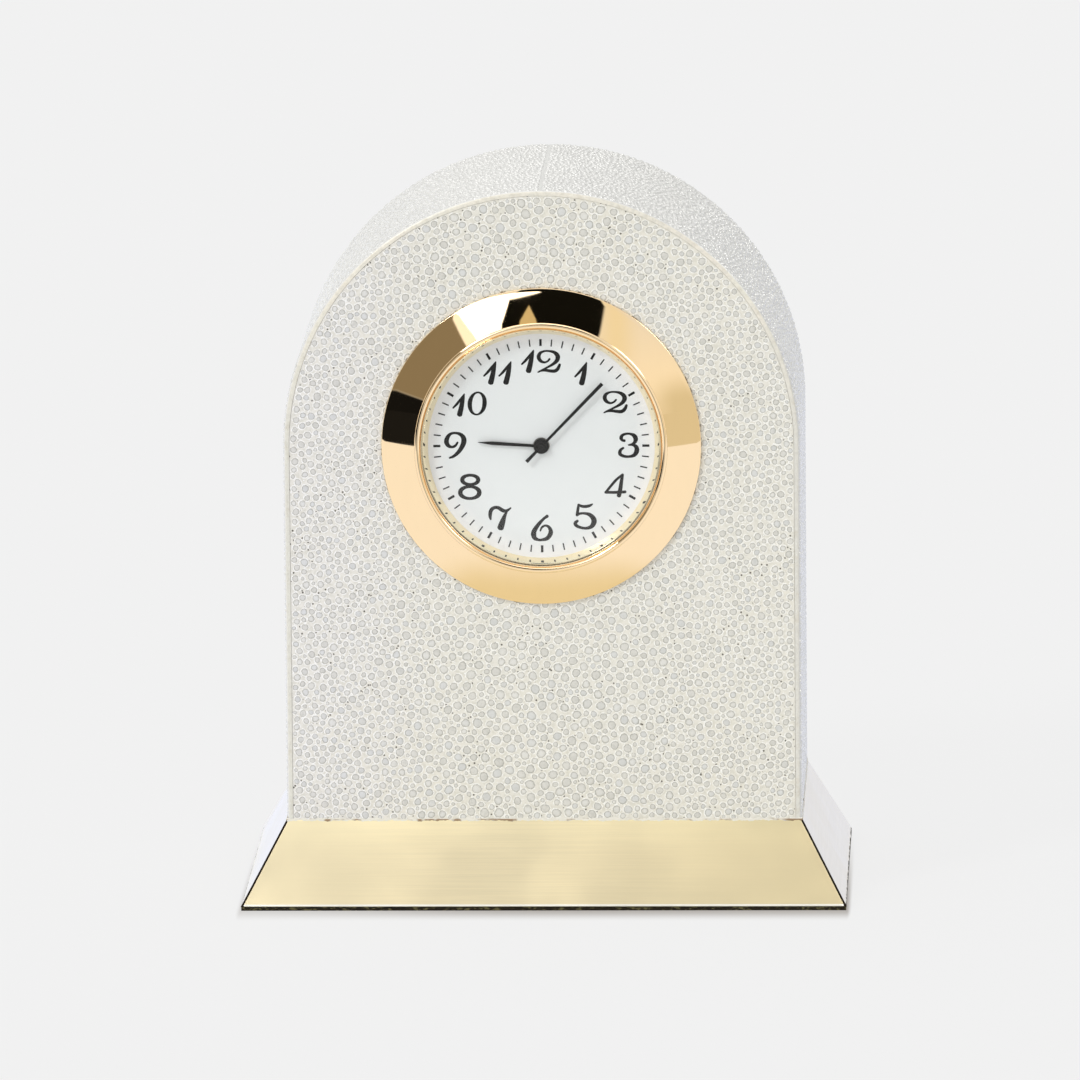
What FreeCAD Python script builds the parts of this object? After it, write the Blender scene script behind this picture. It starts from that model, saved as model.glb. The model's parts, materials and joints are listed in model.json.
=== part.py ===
import FreeCAD, Part
import os
from math import acos, cos, pi, radians, sin, tan

# A small arched shelf clock. A wooden case in the shape of a round-topped arch is covered in
# sanded ray skin and stands on a splayed base faced with four mitred brass plates. A round
# quartz insert with a conical gold bezel plugs into a blind bore in the front of the case.
#
# Millimetres. X runs to the right seen from the front, Y runs from the front to the back and
# Z runs up. The origin is on the ground under the middle of the base. Places inside the insert
# are given as (u, v): u along X and v along Z, both from the axis of the dial.

# Case
case_width = 81.0
case_depth = 50.0
dial_rise = 59.5  # axis of the dial above the underside of the case
skin = 1.0  # thickness of the ray skin
skin_round = 0.45  # rounding of the wrap's outer edges
panel_seam = 0.1  # fine joint between a panel and the wrap round it
bore_depth = 40.0  # blind bore for the insert, from the front of the case

# Base
base_height = 13.2  # from the ground to the underside of the case
base_overhang = 7.0  # how far the foot of the base stands out from the case
plate_thickness = 0.8
mitre_gap = 0.25
felt_thickness = 0.6
felt_inset = 0.3
felt_corner = 1.0

# Wood screws that hold the case on its base
screw_spacing = 44.0
screw_head_radius = 3.2
screw_head_cone = 1.8
screw_head_rim = 0.4
screw_shank_radius = 1.5
screw_length = 25.0
screw_point = 3.0
screw_recess = 0.5

# Fits
fit = 0.05  # radial clearance of everything that turns, slides or drops into a seat
overrun = 1.0  # how far a cutting solid runs past what it cuts
half_turn = 180.0  # degrees

# Lens, bezel and dial
lens_thickness = 0.8
lens_edge = 0.15
lip_thickness = 0.5
lip_width = 0.6  # how far the lip hides the edge of the lens
bead_width = 0.8  # rounded bead between the cone and the lens
bead_step = 0.2  # height of the bead above the cone
bead_outer_round = 0.18
bead_inner_round = 0.38
bezel_rise = 2.6  # crest of the bead in front of the case
bezel_rim = 0.6  # height of the bezel's outer edge
bezel_rim_round = 0.2
bezel_flange = 2.5  # how far the bezel covers the case round its bore
skirt_wall = 1.2
ring_height = 1.6  # dial to lens
ring_front_wall = 0.8
ring_back_wall = 1.6
dial_thickness = 0.4
dial_hole_radius = 1.3
dial_foot_radius = 0.4
dial_foot_length = 1.2
dial_foot_inset = 0.9
washer_radius = 2.4
washer_thickness = 0.1

# Cup of the insert and its rubber grip ring
cup_wall = 1.2
cup_ledge = 1.0  # step inside the cup that the movement plate lies on
cup_edge_bevel = 0.5
movement_edge = 0.77  # from the cell's well to the inside of the cup
grip_width = 5.0
grip_setback = 4.0
grip_groove = 0.3
grip_band = 0.45
grip_stand = 0.65  # how far the ridges stand out from the cup
ridge_count = 3

# Movement plates
motion_gap = 2.2  # room for the motion work behind the dial
plate_disc = 1.4
rim_wall = 0.9
train_gap = 3.6  # room for the going train behind the plate
bridge_thickness = 1.0
bridge_arm_radius = 1.6
pillar_radius = 1.3
pillar_clear = 1.6  # from the centre wheel to the pillars
pillar_angles = (85.0, 225.0, -52.0)
small_head_radius = 1.0
small_head_height = 0.6
small_shank_radius = 0.5
small_shank_length = 2.4

# Teeth, all with the same proportions
pressure_angle = radians(25.0)
addendum_share = 0.8
dedendum_share = 1.1
backlash_share = 0.16
wheel_thickness = 0.5
pivot_radius = 0.25
pivot_length = 0.6
arbor_radius = 0.4

# Motion work: it turns the hour hand once for twelve turns of the minute hand
motion_module = 0.2
cannon_teeth = 12
minute_teeth = 36
minute_pinion_teeth = 10
hour_teeth = 40
setting_teeth = 12
minute_direction = 200.0
setting_direction = 200.0
motion_lift = 0.2  # air under the lowest wheel
pinion_step = 0.2  # air between the two levels of wheels
centre_arbor_radius = 0.3
cannon_wall = 0.25
hour_wall = 0.25
minute_post_radius = 0.35
stem_radius = 0.5

# Going train: the rotor turns ninety times for one turn of the centre wheel
centre_module = 0.16
third_module = 0.13
rotor_module = 0.15
centre_teeth = 60
third_pinion_teeth = 10
third_teeth = 50
middle_pinion_teeth = 10
middle_teeth = 36
rotor_teeth = 12
third_direction = 30.0
middle_direction = 5.0
rotor_direction = -45.0
centre_lift = 0.25  # air between the movement plate and the centre wheel
train_step = 0.4  # air between neighbouring levels of wheels
pinion_overlap = 0.1

# Step motor
magnet_radius = 1.1
magnet_height = 1.2
stator_gap = 0.35
stator_wall = 0.7
stator_thickness = 0.6
stator_lift = 0.9
stator_column = 2.6
stator_arm = 2.4
stator_reach = 6.0  # from the rotor to the middle of each arm, along v
coil_offset = 4.9  # from the rotor to the coil, along u
coil_radius = 1.5
coil_length = 7.6
core_width = 2.0
core_thickness = 0.6

# Circuit
board_thickness = 0.5
board_lift = 0.8
board_margin = 0.4
board_drop = 9.0  # top edge of the board below the dial's axis
crystal_radius = 1.0
crystal_length = 6.0
crystal_across = 6.0
crystal_drop = 12.6
chip_radius = 2.2
chip_height = 0.9
chip_across = -3.0
chip_drop = 13.2
board_screw_across = 11.2
board_screw_drop = 11.8

# Button cell, its contacts and its cover
cell_radius = 5.8
cell_height = 5.4
cell_cap_radius = 4.9
cell_cap_height = 0.5
cell_bevel = 0.25
cell_direction = 127.5
cell_seat = 0.6  # front of the cell above the movement plate
cell_room = 0.6  # back of the cell to the inside of the cup
well_gap = 0.15
well_wall = 0.8
well_height = 3.3
well_clear = 0.4
contact_thickness = 0.2
contact_half_width = 0.8
contact_button_radius = 1.4
contact_side_step = 4.6
contact_spacing = 2.0
clip_width = 2.6
clip_direction = 215.0
clip_tab = 1.2
clip_flare = 0.5
clip_clear = 0.4
cover_radius = 6.9
cover_lip = 0.7
plug_radius = 6.2
notch_radius = 1.2
notch_depth = 0.35

# Setting knob
knob_radius = 2.6
knob_height = 1.8
knob_gap = 0.3
knob_edge = 0.3
flute_count = 18
flute_radius = 0.22

# Hands, as they stand at about seven minutes past nine
minute_turn = 44.0  # degrees clockwise from the top of the dial
hour_turn = 273.67
hour_hand_length = 9.9
hour_hand_root = 0.18
hour_hand_belly = 0.24
hour_belly_share = 0.78
hour_boss_radius = 1.15
hour_boss_height = 0.35
hour_blade = 0.2
hour_hand_lift = 0.35
minute_hand_length = 13.8
minute_hand_root = 0.17
minute_hand_tip = 0.25
minute_tail_length = 3.3
minute_tail_half = 0.25
minute_boss_radius = 0.75
minute_boss_height = 0.4
minute_blade = 0.18
hand_gap = 0.15

# Places and radii that follow from the sizes above
front = -case_depth / 2
back = case_depth / 2
half_case = case_width / 2
dial_height = base_height + dial_rise
foot_x = half_case + base_overhang
foot_y = case_depth / 2 + base_overhang

centre_tip = centre_module * (centre_teeth / 2 + addendum_share)
well_radius = cell_radius + well_gap + well_wall
cell_distance = centre_tip + well_clear + well_radius
pillar_distance = centre_tip + pillar_clear + pillar_radius

ledge_radius = cell_distance + well_radius + movement_edge
cup_bore = ledge_radius + cup_ledge
cup_radius = cup_bore + cup_wall
skirt_radius = cup_bore - fit
bezel_bore = skirt_radius - skirt_wall
lens_radius = bezel_bore - fit
grip_radius = cup_radius + grip_stand
case_bore = grip_radius + fit
bezel_radius = case_bore + bezel_flange
lip_radius = lens_radius - lip_width

lip_front = front - bezel_rise
lens_front = lip_front + lip_thickness
lens_back = lens_front + lens_thickness
dial_front = lens_back + ring_height
dial_back = dial_front + dial_thickness
plate_front = dial_back + motion_gap
plate_back = plate_front + plate_disc
bridge_front = plate_back + train_gap
bridge_back = bridge_front + bridge_thickness
cell_front = plate_back + cell_seat
cell_back = cell_front + cell_height
cup_floor = cell_back + cell_room
cup_back = cup_floor + cup_wall
board_front = plate_back + board_lift
board_back = board_front + board_thickness
stator_front = plate_back + stator_lift
stator_back = stator_front + stator_thickness
core_back = stator_back + core_thickness

cannon_bore = centre_arbor_radius + fit
cannon_radius = cannon_bore + cannon_wall
hour_bore = cannon_radius + fit
hour_tube_radius = hour_bore + hour_wall


def polar(place, distance, direction):
    """The point at a distance from a place, in a direction in degrees from +u towards +v."""
    angle = radians(direction)
    return (place[0] + distance * cos(angle), place[1] + distance * sin(angle))


def pitch_distance(module, teeth_a, teeth_b):
    return module * (teeth_a + teeth_b) / 2


centre = (0, 0)
motion_distance = pitch_distance(motion_module, cannon_teeth, minute_teeth)
hour_module = 2 * motion_distance / (minute_pinion_teeth + hour_teeth)
minute_axis = polar(centre, motion_distance, minute_direction)
setting_distance = pitch_distance(motion_module, minute_teeth, setting_teeth)
setting_axis = polar(minute_axis, setting_distance, setting_direction)
third_distance = pitch_distance(centre_module, centre_teeth, third_pinion_teeth)
third_axis = polar(centre, third_distance, third_direction)
middle_distance = pitch_distance(third_module, third_teeth, middle_pinion_teeth)
middle_axis = polar(third_axis, middle_distance, middle_direction)
rotor_distance = pitch_distance(rotor_module, middle_teeth, rotor_teeth)
rotor_axis = polar(middle_axis, rotor_distance, rotor_direction)
cell_axis = polar(centre, cell_distance, cell_direction)
coil_axis = (rotor_axis[0] + coil_offset, rotor_axis[1])
pillars = [polar(centre, pillar_distance, angle) for angle in pillar_angles]
crystal_place = (crystal_across, -crystal_drop)
chip_place = (chip_across, -chip_drop)
board_screws = [(board_screw_across, -board_screw_drop), (-board_screw_across, -board_screw_drop)]

# Levels of the wheels, from the movement plate forwards and backwards
minute_level = plate_front - motion_lift - wheel_thickness
hour_level = minute_level - pinion_step - wheel_thickness
centre_level = plate_back + centre_lift
third_level = centre_level + wheel_thickness + train_step
middle_level = third_level + wheel_thickness + train_step
magnet_level = stator_front + (stator_thickness - magnet_height) / 2
minute_boss_front = dial_front - hour_hand_lift - hour_boss_height - hand_gap - minute_boss_height


# Solids from outlines

def corner_edges(corners, place, bevel=False):
    """Edges of a closed outline of (a, b, size) corners. A corner with a size is rounded to that
    radius, or is cut off straight at that distance from it where bevel is true."""
    points = [FreeCAD.Vector(a, b, 0) for a, b, size in corners]
    count = len(points)
    starts, middles, ends = [], [], []
    for i, here in enumerate(points):
        size = corners[i][2]
        to_last = (points[i - 1] - here).normalize()
        to_next = (points[(i + 1) % count] - here).normalize()
        half = to_last.getAngle(to_next) / 2
        setback = size if bevel else size / tan(half)
        starts.append(here + to_last * setback)
        ends.append(here + to_next * setback)
        inward = to_last + to_next
        if size > 0 and not bevel:
            inward = inward.normalize() * (size / sin(half) - size)
        middles.append(here + inward)
    edges = []
    for i in range(count):
        start, end = place(starts[i]), place(ends[i])
        if corners[i][2] > 0:
            line = Part.LineSegment(start, end)
            edges.append((line if bevel else Part.Arc(start, place(middles[i]), end)).toShape())
        following = starts[(i + 1) % count]
        if not ends[i].isEqual(following, fit * fit):
            edges.append(Part.LineSegment(end, place(following)).toShape())
    return edges


def face_of(edges):
    return Part.Face(Part.Wire(Part.__sortEdges__(edges)))


def turned(corners, axis=centre, bevel=False):
    """A solid of revolution about an axis along Y, from (radius, y, rounding) corners."""
    middle = FreeCAD.Vector(axis[0], 0, dial_height + axis[1])
    edges = corner_edges(corners, lambda p: FreeCAD.Vector(p.x, p.y, 0) + middle, bevel)
    return face_of(edges).revolve(middle, FreeCAD.Vector(0, 1, 0), 360)


def turned_upright(corners, x):
    """A solid of revolution about an upright axis, from (radius, z, rounding) corners."""
    middle = FreeCAD.Vector(x, 0, 0)
    edges = corner_edges(corners, lambda p: FreeCAD.Vector(x + p.x, 0, p.y))
    return face_of(edges).revolve(middle, FreeCAD.Vector(0, 0, 1), 360)


def barrel(radius, near, far, axis=centre):
    """A round bar along Y from near to far."""
    start = FreeCAD.Vector(axis[0], near, dial_height + axis[1])
    return Part.makeCylinder(radius, far - near, start, FreeCAD.Vector(0, 1, 0))


def pressed(corners, near, far):
    """A flat part cut from sheet: an outline of (u, v, rounding) corners, from near to far."""
    edges = corner_edges(corners, lambda p: FreeCAD.Vector(p.x, near, dial_height + p.y))
    return face_of(edges).extrude(FreeCAD.Vector(0, far - near, 0))


def arm(start, end, radius, near, far):
    """A flat bar with round ends from one place to another."""
    along = FreeCAD.Vector(end[0] - start[0], end[1] - start[1], 0).normalize()
    side = FreeCAD.Vector(-along.y, along.x, 0) * radius
    a = FreeCAD.Vector(start[0], start[1], 0)
    b = FreeCAD.Vector(end[0], end[1], 0)

    def place(p):
        return FreeCAD.Vector(p.x, near, dial_height + p.y)

    edges = [
        Part.LineSegment(place(a - side), place(b - side)).toShape(),
        Part.Arc(place(b - side), place(b + along * radius), place(b + side)).toShape(),
        Part.LineSegment(place(b + side), place(a + side)).toShape(),
        Part.Arc(place(a + side), place(a - along * radius), place(a - side)).toShape(),
    ]
    return face_of(edges).extrude(FreeCAD.Vector(0, far - near, 0))


def block(low_u, high_u, low_v, high_v, near, far):
    """A straight block inside the insert."""
    start = FreeCAD.Vector(low_u, near, dial_height + low_v)
    return Part.makeBox(high_u - low_u, far - near, high_v - low_v, start)


def joined(shapes):
    return shapes[0].fuse(shapes[1:]).removeSplitter()


def cut_by(shape, tools):
    return shape.cut(tools)


# Case and base

def arch(half_width, near, far):
    """An arch whose round top is concentric with the dial, standing on the base."""
    def place(x, z):
        return FreeCAD.Vector(x, near, z)

    left, right = -half_width, half_width
    top = place(0, dial_height + half_width)
    edges = [
        Part.LineSegment(place(left, base_height), place(left, dial_height)).toShape(),
        Part.Arc(place(left, dial_height), top, place(right, dial_height)).toShape(),
        Part.LineSegment(place(right, dial_height), place(right, base_height)).toShape(),
        Part.LineSegment(place(right, base_height), place(left, base_height)).toShape(),
    ]
    return face_of(edges).extrude(FreeCAD.Vector(0, far - near, 0))


def case_core():
    body = arch(half_case - skin, front + skin, back - skin)
    bore = barrel(case_bore, front, front + bore_depth)
    return cut_by(body, [bore] + base_screw_solids())


def on_outer_edge(edge):
    """True for the wrap's outer front and back edges, which are rounded."""
    box = edge.BoundBox
    flat = box.YLength < fit and min(abs(box.YMin - front), abs(box.YMax - back)) < fit
    middle = edge.valueAt((edge.FirstParameter + edge.LastParameter) / 2)
    rise = max(middle.z - dial_height, 0)
    reach = (middle.x ** 2 + rise ** 2) ** 0.5
    return flat and abs(reach - half_case) < fit


def wrap_skin():
    inside = arch(half_case - skin, front - overrun, back + overrun)
    band = cut_by(arch(half_case, front, back), [inside])
    return band.makeFillet(skin_round, [e for e in band.Edges if on_outer_edge(e)])


def front_panel():
    panel = arch(half_case - skin - panel_seam, front, front + skin)
    return cut_by(panel, [barrel(case_bore, front - overrun, front + skin + overrun)])


def back_panel():
    return arch(half_case - skin - panel_seam, back - skin, back)


def splayed_block(inset):
    """The base's sloping block, from the felt up to the case, with its faces set in."""
    levels = ((foot_x, foot_y, felt_thickness), (half_case, case_depth / 2, base_height))
    wires = []
    for half_x, half_y, z in levels:
        x, y = half_x - inset, half_y - inset
        ring = [(-x, -y), (x, -y), (x, y), (-x, y), (-x, -y)]
        wires.append(Part.makePolygon([FreeCAD.Vector(a, b, z) for a, b in ring]))
    return Part.makeLoft(wires, True, True)


slope_height = base_height - felt_thickness
slope_length = (slope_height ** 2 + base_overhang ** 2) ** 0.5
plate_inset = plate_thickness * slope_length / slope_height


def base_core():
    return cut_by(splayed_block(plate_inset), base_screw_solids())


def mitre_wedge(side_x, side_y):
    """Everything in front of one side of the base, between the two mitres. The side is (0, -1)
    for the front, (1, 0) for the right and so on."""
    half_x, half_y = half_case, case_depth / 2
    along_x, along_y = -side_y, side_x
    inner = plate_inset + overrun
    outer = base_overhang + overrun
    half_gap = mitre_gap / 2 * 2 ** 0.5
    reach = half_x if side_y else half_y
    stand = half_y if side_y else half_x
    corners = []
    for turn, depth in ((-1, outer), (1, outer), (1, -inner), (-1, -inner)):
        run = turn * (reach + depth - half_gap)
        out = stand + depth
        corners.append((along_x * run + side_x * out, along_y * run + side_y * out))
    corners.append(corners[0])
    ring = Part.makePolygon([FreeCAD.Vector(a, b, 0) for a, b in corners])
    return Part.Face(ring).extrude(FreeCAD.Vector(0, 0, base_height + overrun))


def base_plate(side_x, side_y):
    sheath = cut_by(splayed_block(0), [splayed_block(plate_inset)])
    return sheath.common(mitre_wedge(side_x, side_y))


def base_felt():
    x, y = foot_x - felt_inset, foot_y - felt_inset
    corners = [(-x, -y), (x, -y), (x, y), (-x, y)]
    edges = corner_edges([(a, b, felt_corner) for a, b in corners], lambda p: p)
    return face_of(edges).extrude(FreeCAD.Vector(0, 0, felt_thickness))


def base_screw_solids():
    low = felt_thickness + screw_recess
    rim = low + screw_head_rim
    neck = rim + screw_head_cone
    top = low + screw_length
    profile = [
        (0, low, 0),
        (screw_head_radius, low, 0),
        (screw_head_radius, rim, 0),
        (screw_shank_radius, neck, 0),
        (screw_shank_radius, top - screw_point, 0),
        (0, top, 0),
    ]
    return [turned_upright(profile, x) for x in (-screw_spacing / 2, screw_spacing / 2)]


def base_screw_mouths():
    """The holes that let the screws' heads into the underside of the base."""
    holes = []
    for x in (-screw_spacing / 2, screw_spacing / 2):
        start = FreeCAD.Vector(x, 0, felt_thickness)
        holes.append(Part.makeCylinder(screw_head_radius, screw_recess, start))
    return holes


# Front of the insert

def bezel():
    profile = [
        (bezel_radius, front, 0),
        (bezel_radius, front - bezel_rim, bezel_rim_round),
        (lip_radius + bead_width, lip_front + bead_step, 0),
        (lip_radius + bead_width, lip_front, bead_outer_round),
        (lip_radius, lip_front, bead_inner_round),
        (lip_radius, lens_front, 0),
        (bezel_bore, lens_front, 0),
        (bezel_bore, plate_front, 0),
        (skirt_radius, plate_front, 0),
        (skirt_radius, front, 0),
    ]
    return turned(profile)


def lens():
    profile = [
        (0, lens_front, 0),
        (lens_radius, lens_front, lens_edge),
        (lens_radius, lens_back, 0),
        (0, lens_back, 0),
    ]
    return turned(profile, bevel=True)


def dial_ring():
    profile = [
        (lens_radius, lens_back, 0),
        (lens_radius, dial_front, 0),
        (lens_radius - ring_back_wall, dial_front, 0),
        (lens_radius - ring_front_wall, lens_back, 0),
    ]
    return turned(profile)


def dial_feet(clearance):
    reach = lens_radius - dial_foot_inset
    feet = []
    for u in (-reach, reach):
        far = dial_back + dial_foot_length + clearance
        feet.append(barrel(dial_foot_radius + clearance, dial_back - clearance, far, (u, 0)))
    return feet


def dial():
    disc = barrel(lens_radius, dial_front, dial_back)
    plain = cut_by(disc, [barrel(dial_hole_radius, dial_front - overrun, dial_back + overrun)])
    return joined([plain] + dial_feet(0))


def dial_washer():
    disc = barrel(washer_radius, dial_back, dial_back + washer_thickness)
    return cut_by(disc, [barrel(dial_hole_radius, dial_back, dial_back + washer_thickness)])


def dial_point(turn, reach, offset):
    """The place on the dial reached by a hand that stands at a turn from twelve o'clock."""
    angle = radians(turn)
    u = reach * sin(angle) + offset * cos(angle)
    v = reach * cos(angle) - offset * sin(angle)
    return (u, v, 0)


def hour_hand():
    boss_back = dial_front - hour_hand_lift
    boss_front = boss_back - hour_boss_height
    blade_front = boss_back - hour_blade
    belly = hour_hand_length * hour_belly_share
    outline = [
        dial_point(hour_turn, 0, -hour_hand_root),
        dial_point(hour_turn, belly, -hour_hand_belly),
        dial_point(hour_turn, hour_hand_length, 0),
        dial_point(hour_turn, belly, hour_hand_belly),
        dial_point(hour_turn, 0, hour_hand_root),
    ]
    blade = pressed(outline, blade_front, boss_back)
    boss = barrel(hour_boss_radius, boss_front, boss_back)
    hole = barrel(hour_tube_radius, boss_front - overrun, boss_back + overrun)
    return cut_by(joined([blade, boss]), [hole])


def minute_hand():
    boss_back = minute_boss_front + minute_boss_height
    blade_front = boss_back - minute_blade
    outline = [
        dial_point(minute_turn, -minute_tail_length, -minute_tail_half),
        dial_point(minute_turn, 0, -minute_hand_root),
        dial_point(minute_turn, minute_hand_length, -minute_hand_tip),
        dial_point(minute_turn, minute_hand_length, minute_hand_tip),
        dial_point(minute_turn, 0, minute_hand_root),
        dial_point(minute_turn, -minute_tail_length, minute_tail_half),
    ]
    blade = pressed(outline, blade_front, boss_back)
    boss = barrel(minute_boss_radius, minute_boss_front, boss_back)
    hole = barrel(cannon_radius, minute_boss_front - overrun, boss_back + overrun)
    return cut_by(joined([blade, boss]), [hole])


# Cup, grip ring and movement plates

def insert_cup():
    groove_near = front + grip_setback
    profile = [
        (cup_bore, front, 0),
        (cup_radius, front, 0),
        (cup_radius, groove_near, 0),
        (cup_radius - grip_groove, groove_near, 0),
        (cup_radius - grip_groove, groove_near + grip_width, 0),
        (cup_radius, groove_near + grip_width, 0),
        (cup_radius, cup_back, cup_edge_bevel),
        (0, cup_back, 0),
        (0, cup_floor, 0),
        (ledge_radius, cup_floor, 0),
        (ledge_radius, plate_back, 0),
        (cup_bore, plate_back, 0),
    ]
    cover_seat = cup_back - cover_lip
    tools = [
        barrel(plug_radius + fit, cup_floor - overrun, cup_back + overrun, cell_axis),
        barrel(cover_radius + fit, cover_seat, cup_back + overrun, cell_axis),
        barrel(stem_radius + fit, cup_floor - overrun, cup_back + overrun, setting_axis),
    ]
    return cut_by(turned(profile, bevel=True), tools)


def grip_ring():
    """A rubber band with sawtooth ridges that lean back as the insert goes in."""
    near = front + grip_setback
    inner = cup_radius - grip_groove
    band = inner + grip_band
    pitch = grip_width / ridge_count
    profile = [(inner, near + grip_width, 0), (inner, near, 0)]
    for i in range(ridge_count):
        profile.append((band, near + i * pitch, 0))
        profile.append((grip_radius, near + (i + 0.5) * pitch, 0))
    profile.append((band, near + grip_width, 0))
    return turned(profile)


def post(place, radius, height):
    """A boss moulded on the back of the movement plate."""
    return barrel(radius, plate_back, plate_back + height, place)


def stator_ends():
    u, v = coil_axis
    return [(u, v - stator_reach), (u, v + stator_reach)]


def cell_well():
    """The wall round the cell, open where the side contact stands."""
    near, far = plate_back, plate_back + well_height
    ring = barrel(well_radius, near, far, cell_axis)
    inside = barrel(cell_radius + well_gap, near, far, cell_axis)
    outward = polar(cell_axis, 2 * well_radius, clip_direction)
    gap = arm(cell_axis, outward, clip_width / 2 + clip_clear, near, far)
    tunnel = arm(cell_axis, contact_path()[-1], contact_half_width + well_gap, near, cell_front)
    return cut_by(ring, [inside, gap, tunnel])


def main_plate():
    disc = barrel(cup_bore - fit, plate_front, plate_back)
    rim = barrel(lens_radius - fit, dial_back, plate_front)
    hollow = barrel(lens_radius - fit - 2 * rim_wall, dial_back, plate_front)
    bosses = [post(p, pillar_radius, train_gap) for p in pillars]
    bosses += [post(p, stator_arm / 2, stator_lift) for p in stator_ends()]
    bosses += [post(p, small_head_radius, board_lift) for p in board_screws]
    stud_front = hour_level - wheel_thickness / 2
    stud = barrel(minute_post_radius, stud_front, plate_front, minute_axis)
    solid = joined([disc, cut_by(rim, [hollow]), stud, cell_well()] + bosses)
    tools = [
        barrel(centre_arbor_radius + fit, plate_front - overrun, plate_back, centre),
        barrel(stem_radius + fit, plate_front - overrun, plate_back, setting_axis),
    ]
    for place in (third_axis, middle_axis, rotor_axis):
        tools.append(barrel(pivot_radius + fit, plate_back - pivot_length - fit, plate_back, place))
    return cut_by(solid, tools + dial_feet(fit) + small_screw_solids())


def train_bridge():
    links = [
        (pillars[0], third_axis),
        (centre, third_axis),
        (centre, pillars[1]),
        (centre, pillars[2]),
        (third_axis, middle_axis),
        (middle_axis, rotor_axis),
    ]
    arms = [arm(a, b, bridge_arm_radius, bridge_front, bridge_back) for a, b in links]
    tools = [barrel(pivot_radius + fit, bridge_front, bridge_front + pivot_length + fit, p)
             for p in (centre, third_axis, middle_axis, rotor_axis)]
    return cut_by(joined(arms), tools + small_screw_solids())


def small_screw(place, seat):
    """A pan-headed screw driven from the back, with its head on a seat."""
    head_back = seat + small_head_height
    profile = [
        (0, seat - small_shank_length, 0),
        (small_shank_radius, seat - small_shank_length, 0),
        (small_shank_radius, seat, 0),
        (small_head_radius, seat, 0),
        (small_head_radius, head_back, 0),
        (0, head_back, 0),
    ]
    return turned(profile, place)


def small_screw_solids():
    seats = [(p, bridge_back) for p in pillars]
    seats += [(p, core_back) for p in stator_ends()]
    seats += [(p, board_back) for p in board_screws]
    return [small_screw(place, seat) for place, seat in seats]


# Wheels

def flank_radii(teeth, module):
    """Radii of a tooth's corners: a wheel has straight flanks and a pinion bends at its base."""
    pitch = module * teeth / 2
    base = pitch * cos(pressure_angle)
    root = pitch - dedendum_share * module
    tip = pitch + addendum_share * module
    if root < base:
        return [root, base, (base + tip) / 2, tip]
    return [root, tip]


def involute(angle):
    return tan(angle) - angle


def toothed(teeth, module, phase, near, far, axis):
    """A spur wheel with a tooth centred on the phase angle, which is in radians from +u."""
    pitch = module * teeth / 2
    base = pitch * cos(pressure_angle)
    half_at_pitch = (pi / 2 - backlash_share) / teeth
    flank = []
    for radius in flank_radii(teeth, module):
        roll = acos(min(1, base / radius))
        half = half_at_pitch + involute(pressure_angle) - involute(roll)
        flank.append((radius, half))
    corners = []
    for i in range(teeth):
        middle = phase + 2 * pi * i / teeth
        sides = [(r, middle - half) for r, half in flank]
        sides += [(r, middle + half) for r, half in reversed(flank)]
        for radius, angle in sides:
            u = axis[0] + radius * cos(angle)
            v = axis[1] + radius * sin(angle)
            corners.append(FreeCAD.Vector(u, near, dial_height + v))
    corners.append(corners[0])
    face = Part.Face(Part.makePolygon(corners))
    return face.extrude(FreeCAD.Vector(0, far - near, 0))


def meshing_phase(wheel_teeth, pinion_teeth, direction):
    """Phase of a pinion that meshes with a wheel of phase zero. The direction is in degrees
    from the wheel to the pinion."""
    towards = radians(direction)
    pitch = 2 * pi / wheel_teeth
    tooth_ahead = -(towards % pitch)
    gap = towards - pi - tooth_ahead * wheel_teeth / pinion_teeth
    return gap + pi / pinion_teeth


def cannon_pinion():
    phase = meshing_phase(minute_teeth, cannon_teeth, minute_direction + half_turn)
    near, far = minute_level, minute_level + wheel_thickness
    leaves = toothed(cannon_teeth, motion_module, phase, near, far, centre)
    tube = barrel(cannon_radius, minute_boss_front, plate_front - fit)
    bore = barrel(cannon_bore, minute_boss_front - overrun, plate_front + overrun)
    return cut_by(joined([leaves, tube]), [bore])


def hour_wheel():
    phase = meshing_phase(minute_pinion_teeth, hour_teeth, minute_direction + half_turn)
    near, far = hour_level, hour_level + wheel_thickness
    rim = toothed(hour_teeth, hour_module, phase, near, far, centre)
    tube_front = dial_front - hour_hand_lift - hour_boss_height
    tube = barrel(hour_tube_radius, tube_front, far)
    bore = barrel(hour_bore, tube_front - overrun, far + overrun)
    return cut_by(joined([rim, tube]), [bore])


def minute_wheel():
    near, far = minute_level, minute_level + wheel_thickness
    rim = toothed(minute_teeth, motion_module, 0, near, far, minute_axis)
    leaves = toothed(minute_pinion_teeth, hour_module, 0, hour_level, near, minute_axis)
    bore = barrel(minute_post_radius + fit, hour_level - overrun, far + overrun, minute_axis)
    return cut_by(joined([rim, leaves]), [bore])


def setting_stem():
    phase = meshing_phase(minute_teeth, setting_teeth, setting_direction)
    near, far = minute_level, minute_level + wheel_thickness
    leaves = toothed(setting_teeth, motion_module, phase, near, far, setting_axis)
    end = cup_back + knob_gap + knob_height / 2
    return joined([leaves, barrel(stem_radius, near, end, setting_axis)])


def setting_knob():
    near = cup_back + knob_gap
    far = near + knob_height
    profile = [
        (0, near, 0),
        (knob_radius, near, 0),
        (knob_radius, far, knob_edge),
        (0, far, 0),
    ]
    tools = []
    for i in range(flute_count):
        place = polar(setting_axis, knob_radius, 2 * half_turn * i / flute_count)
        tools.append(barrel(flute_radius, near - overrun, far + overrun, place))
    seat = barrel(stem_radius, near - overrun, near + knob_height / 2, setting_axis)
    return cut_by(turned(profile, setting_axis, bevel=True), tools + [seat])


def pivots(place):
    """The thin ends of an arbor, in the plate and in the bridge."""
    return barrel(pivot_radius, plate_back - pivot_length, bridge_front + pivot_length, place)


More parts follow.
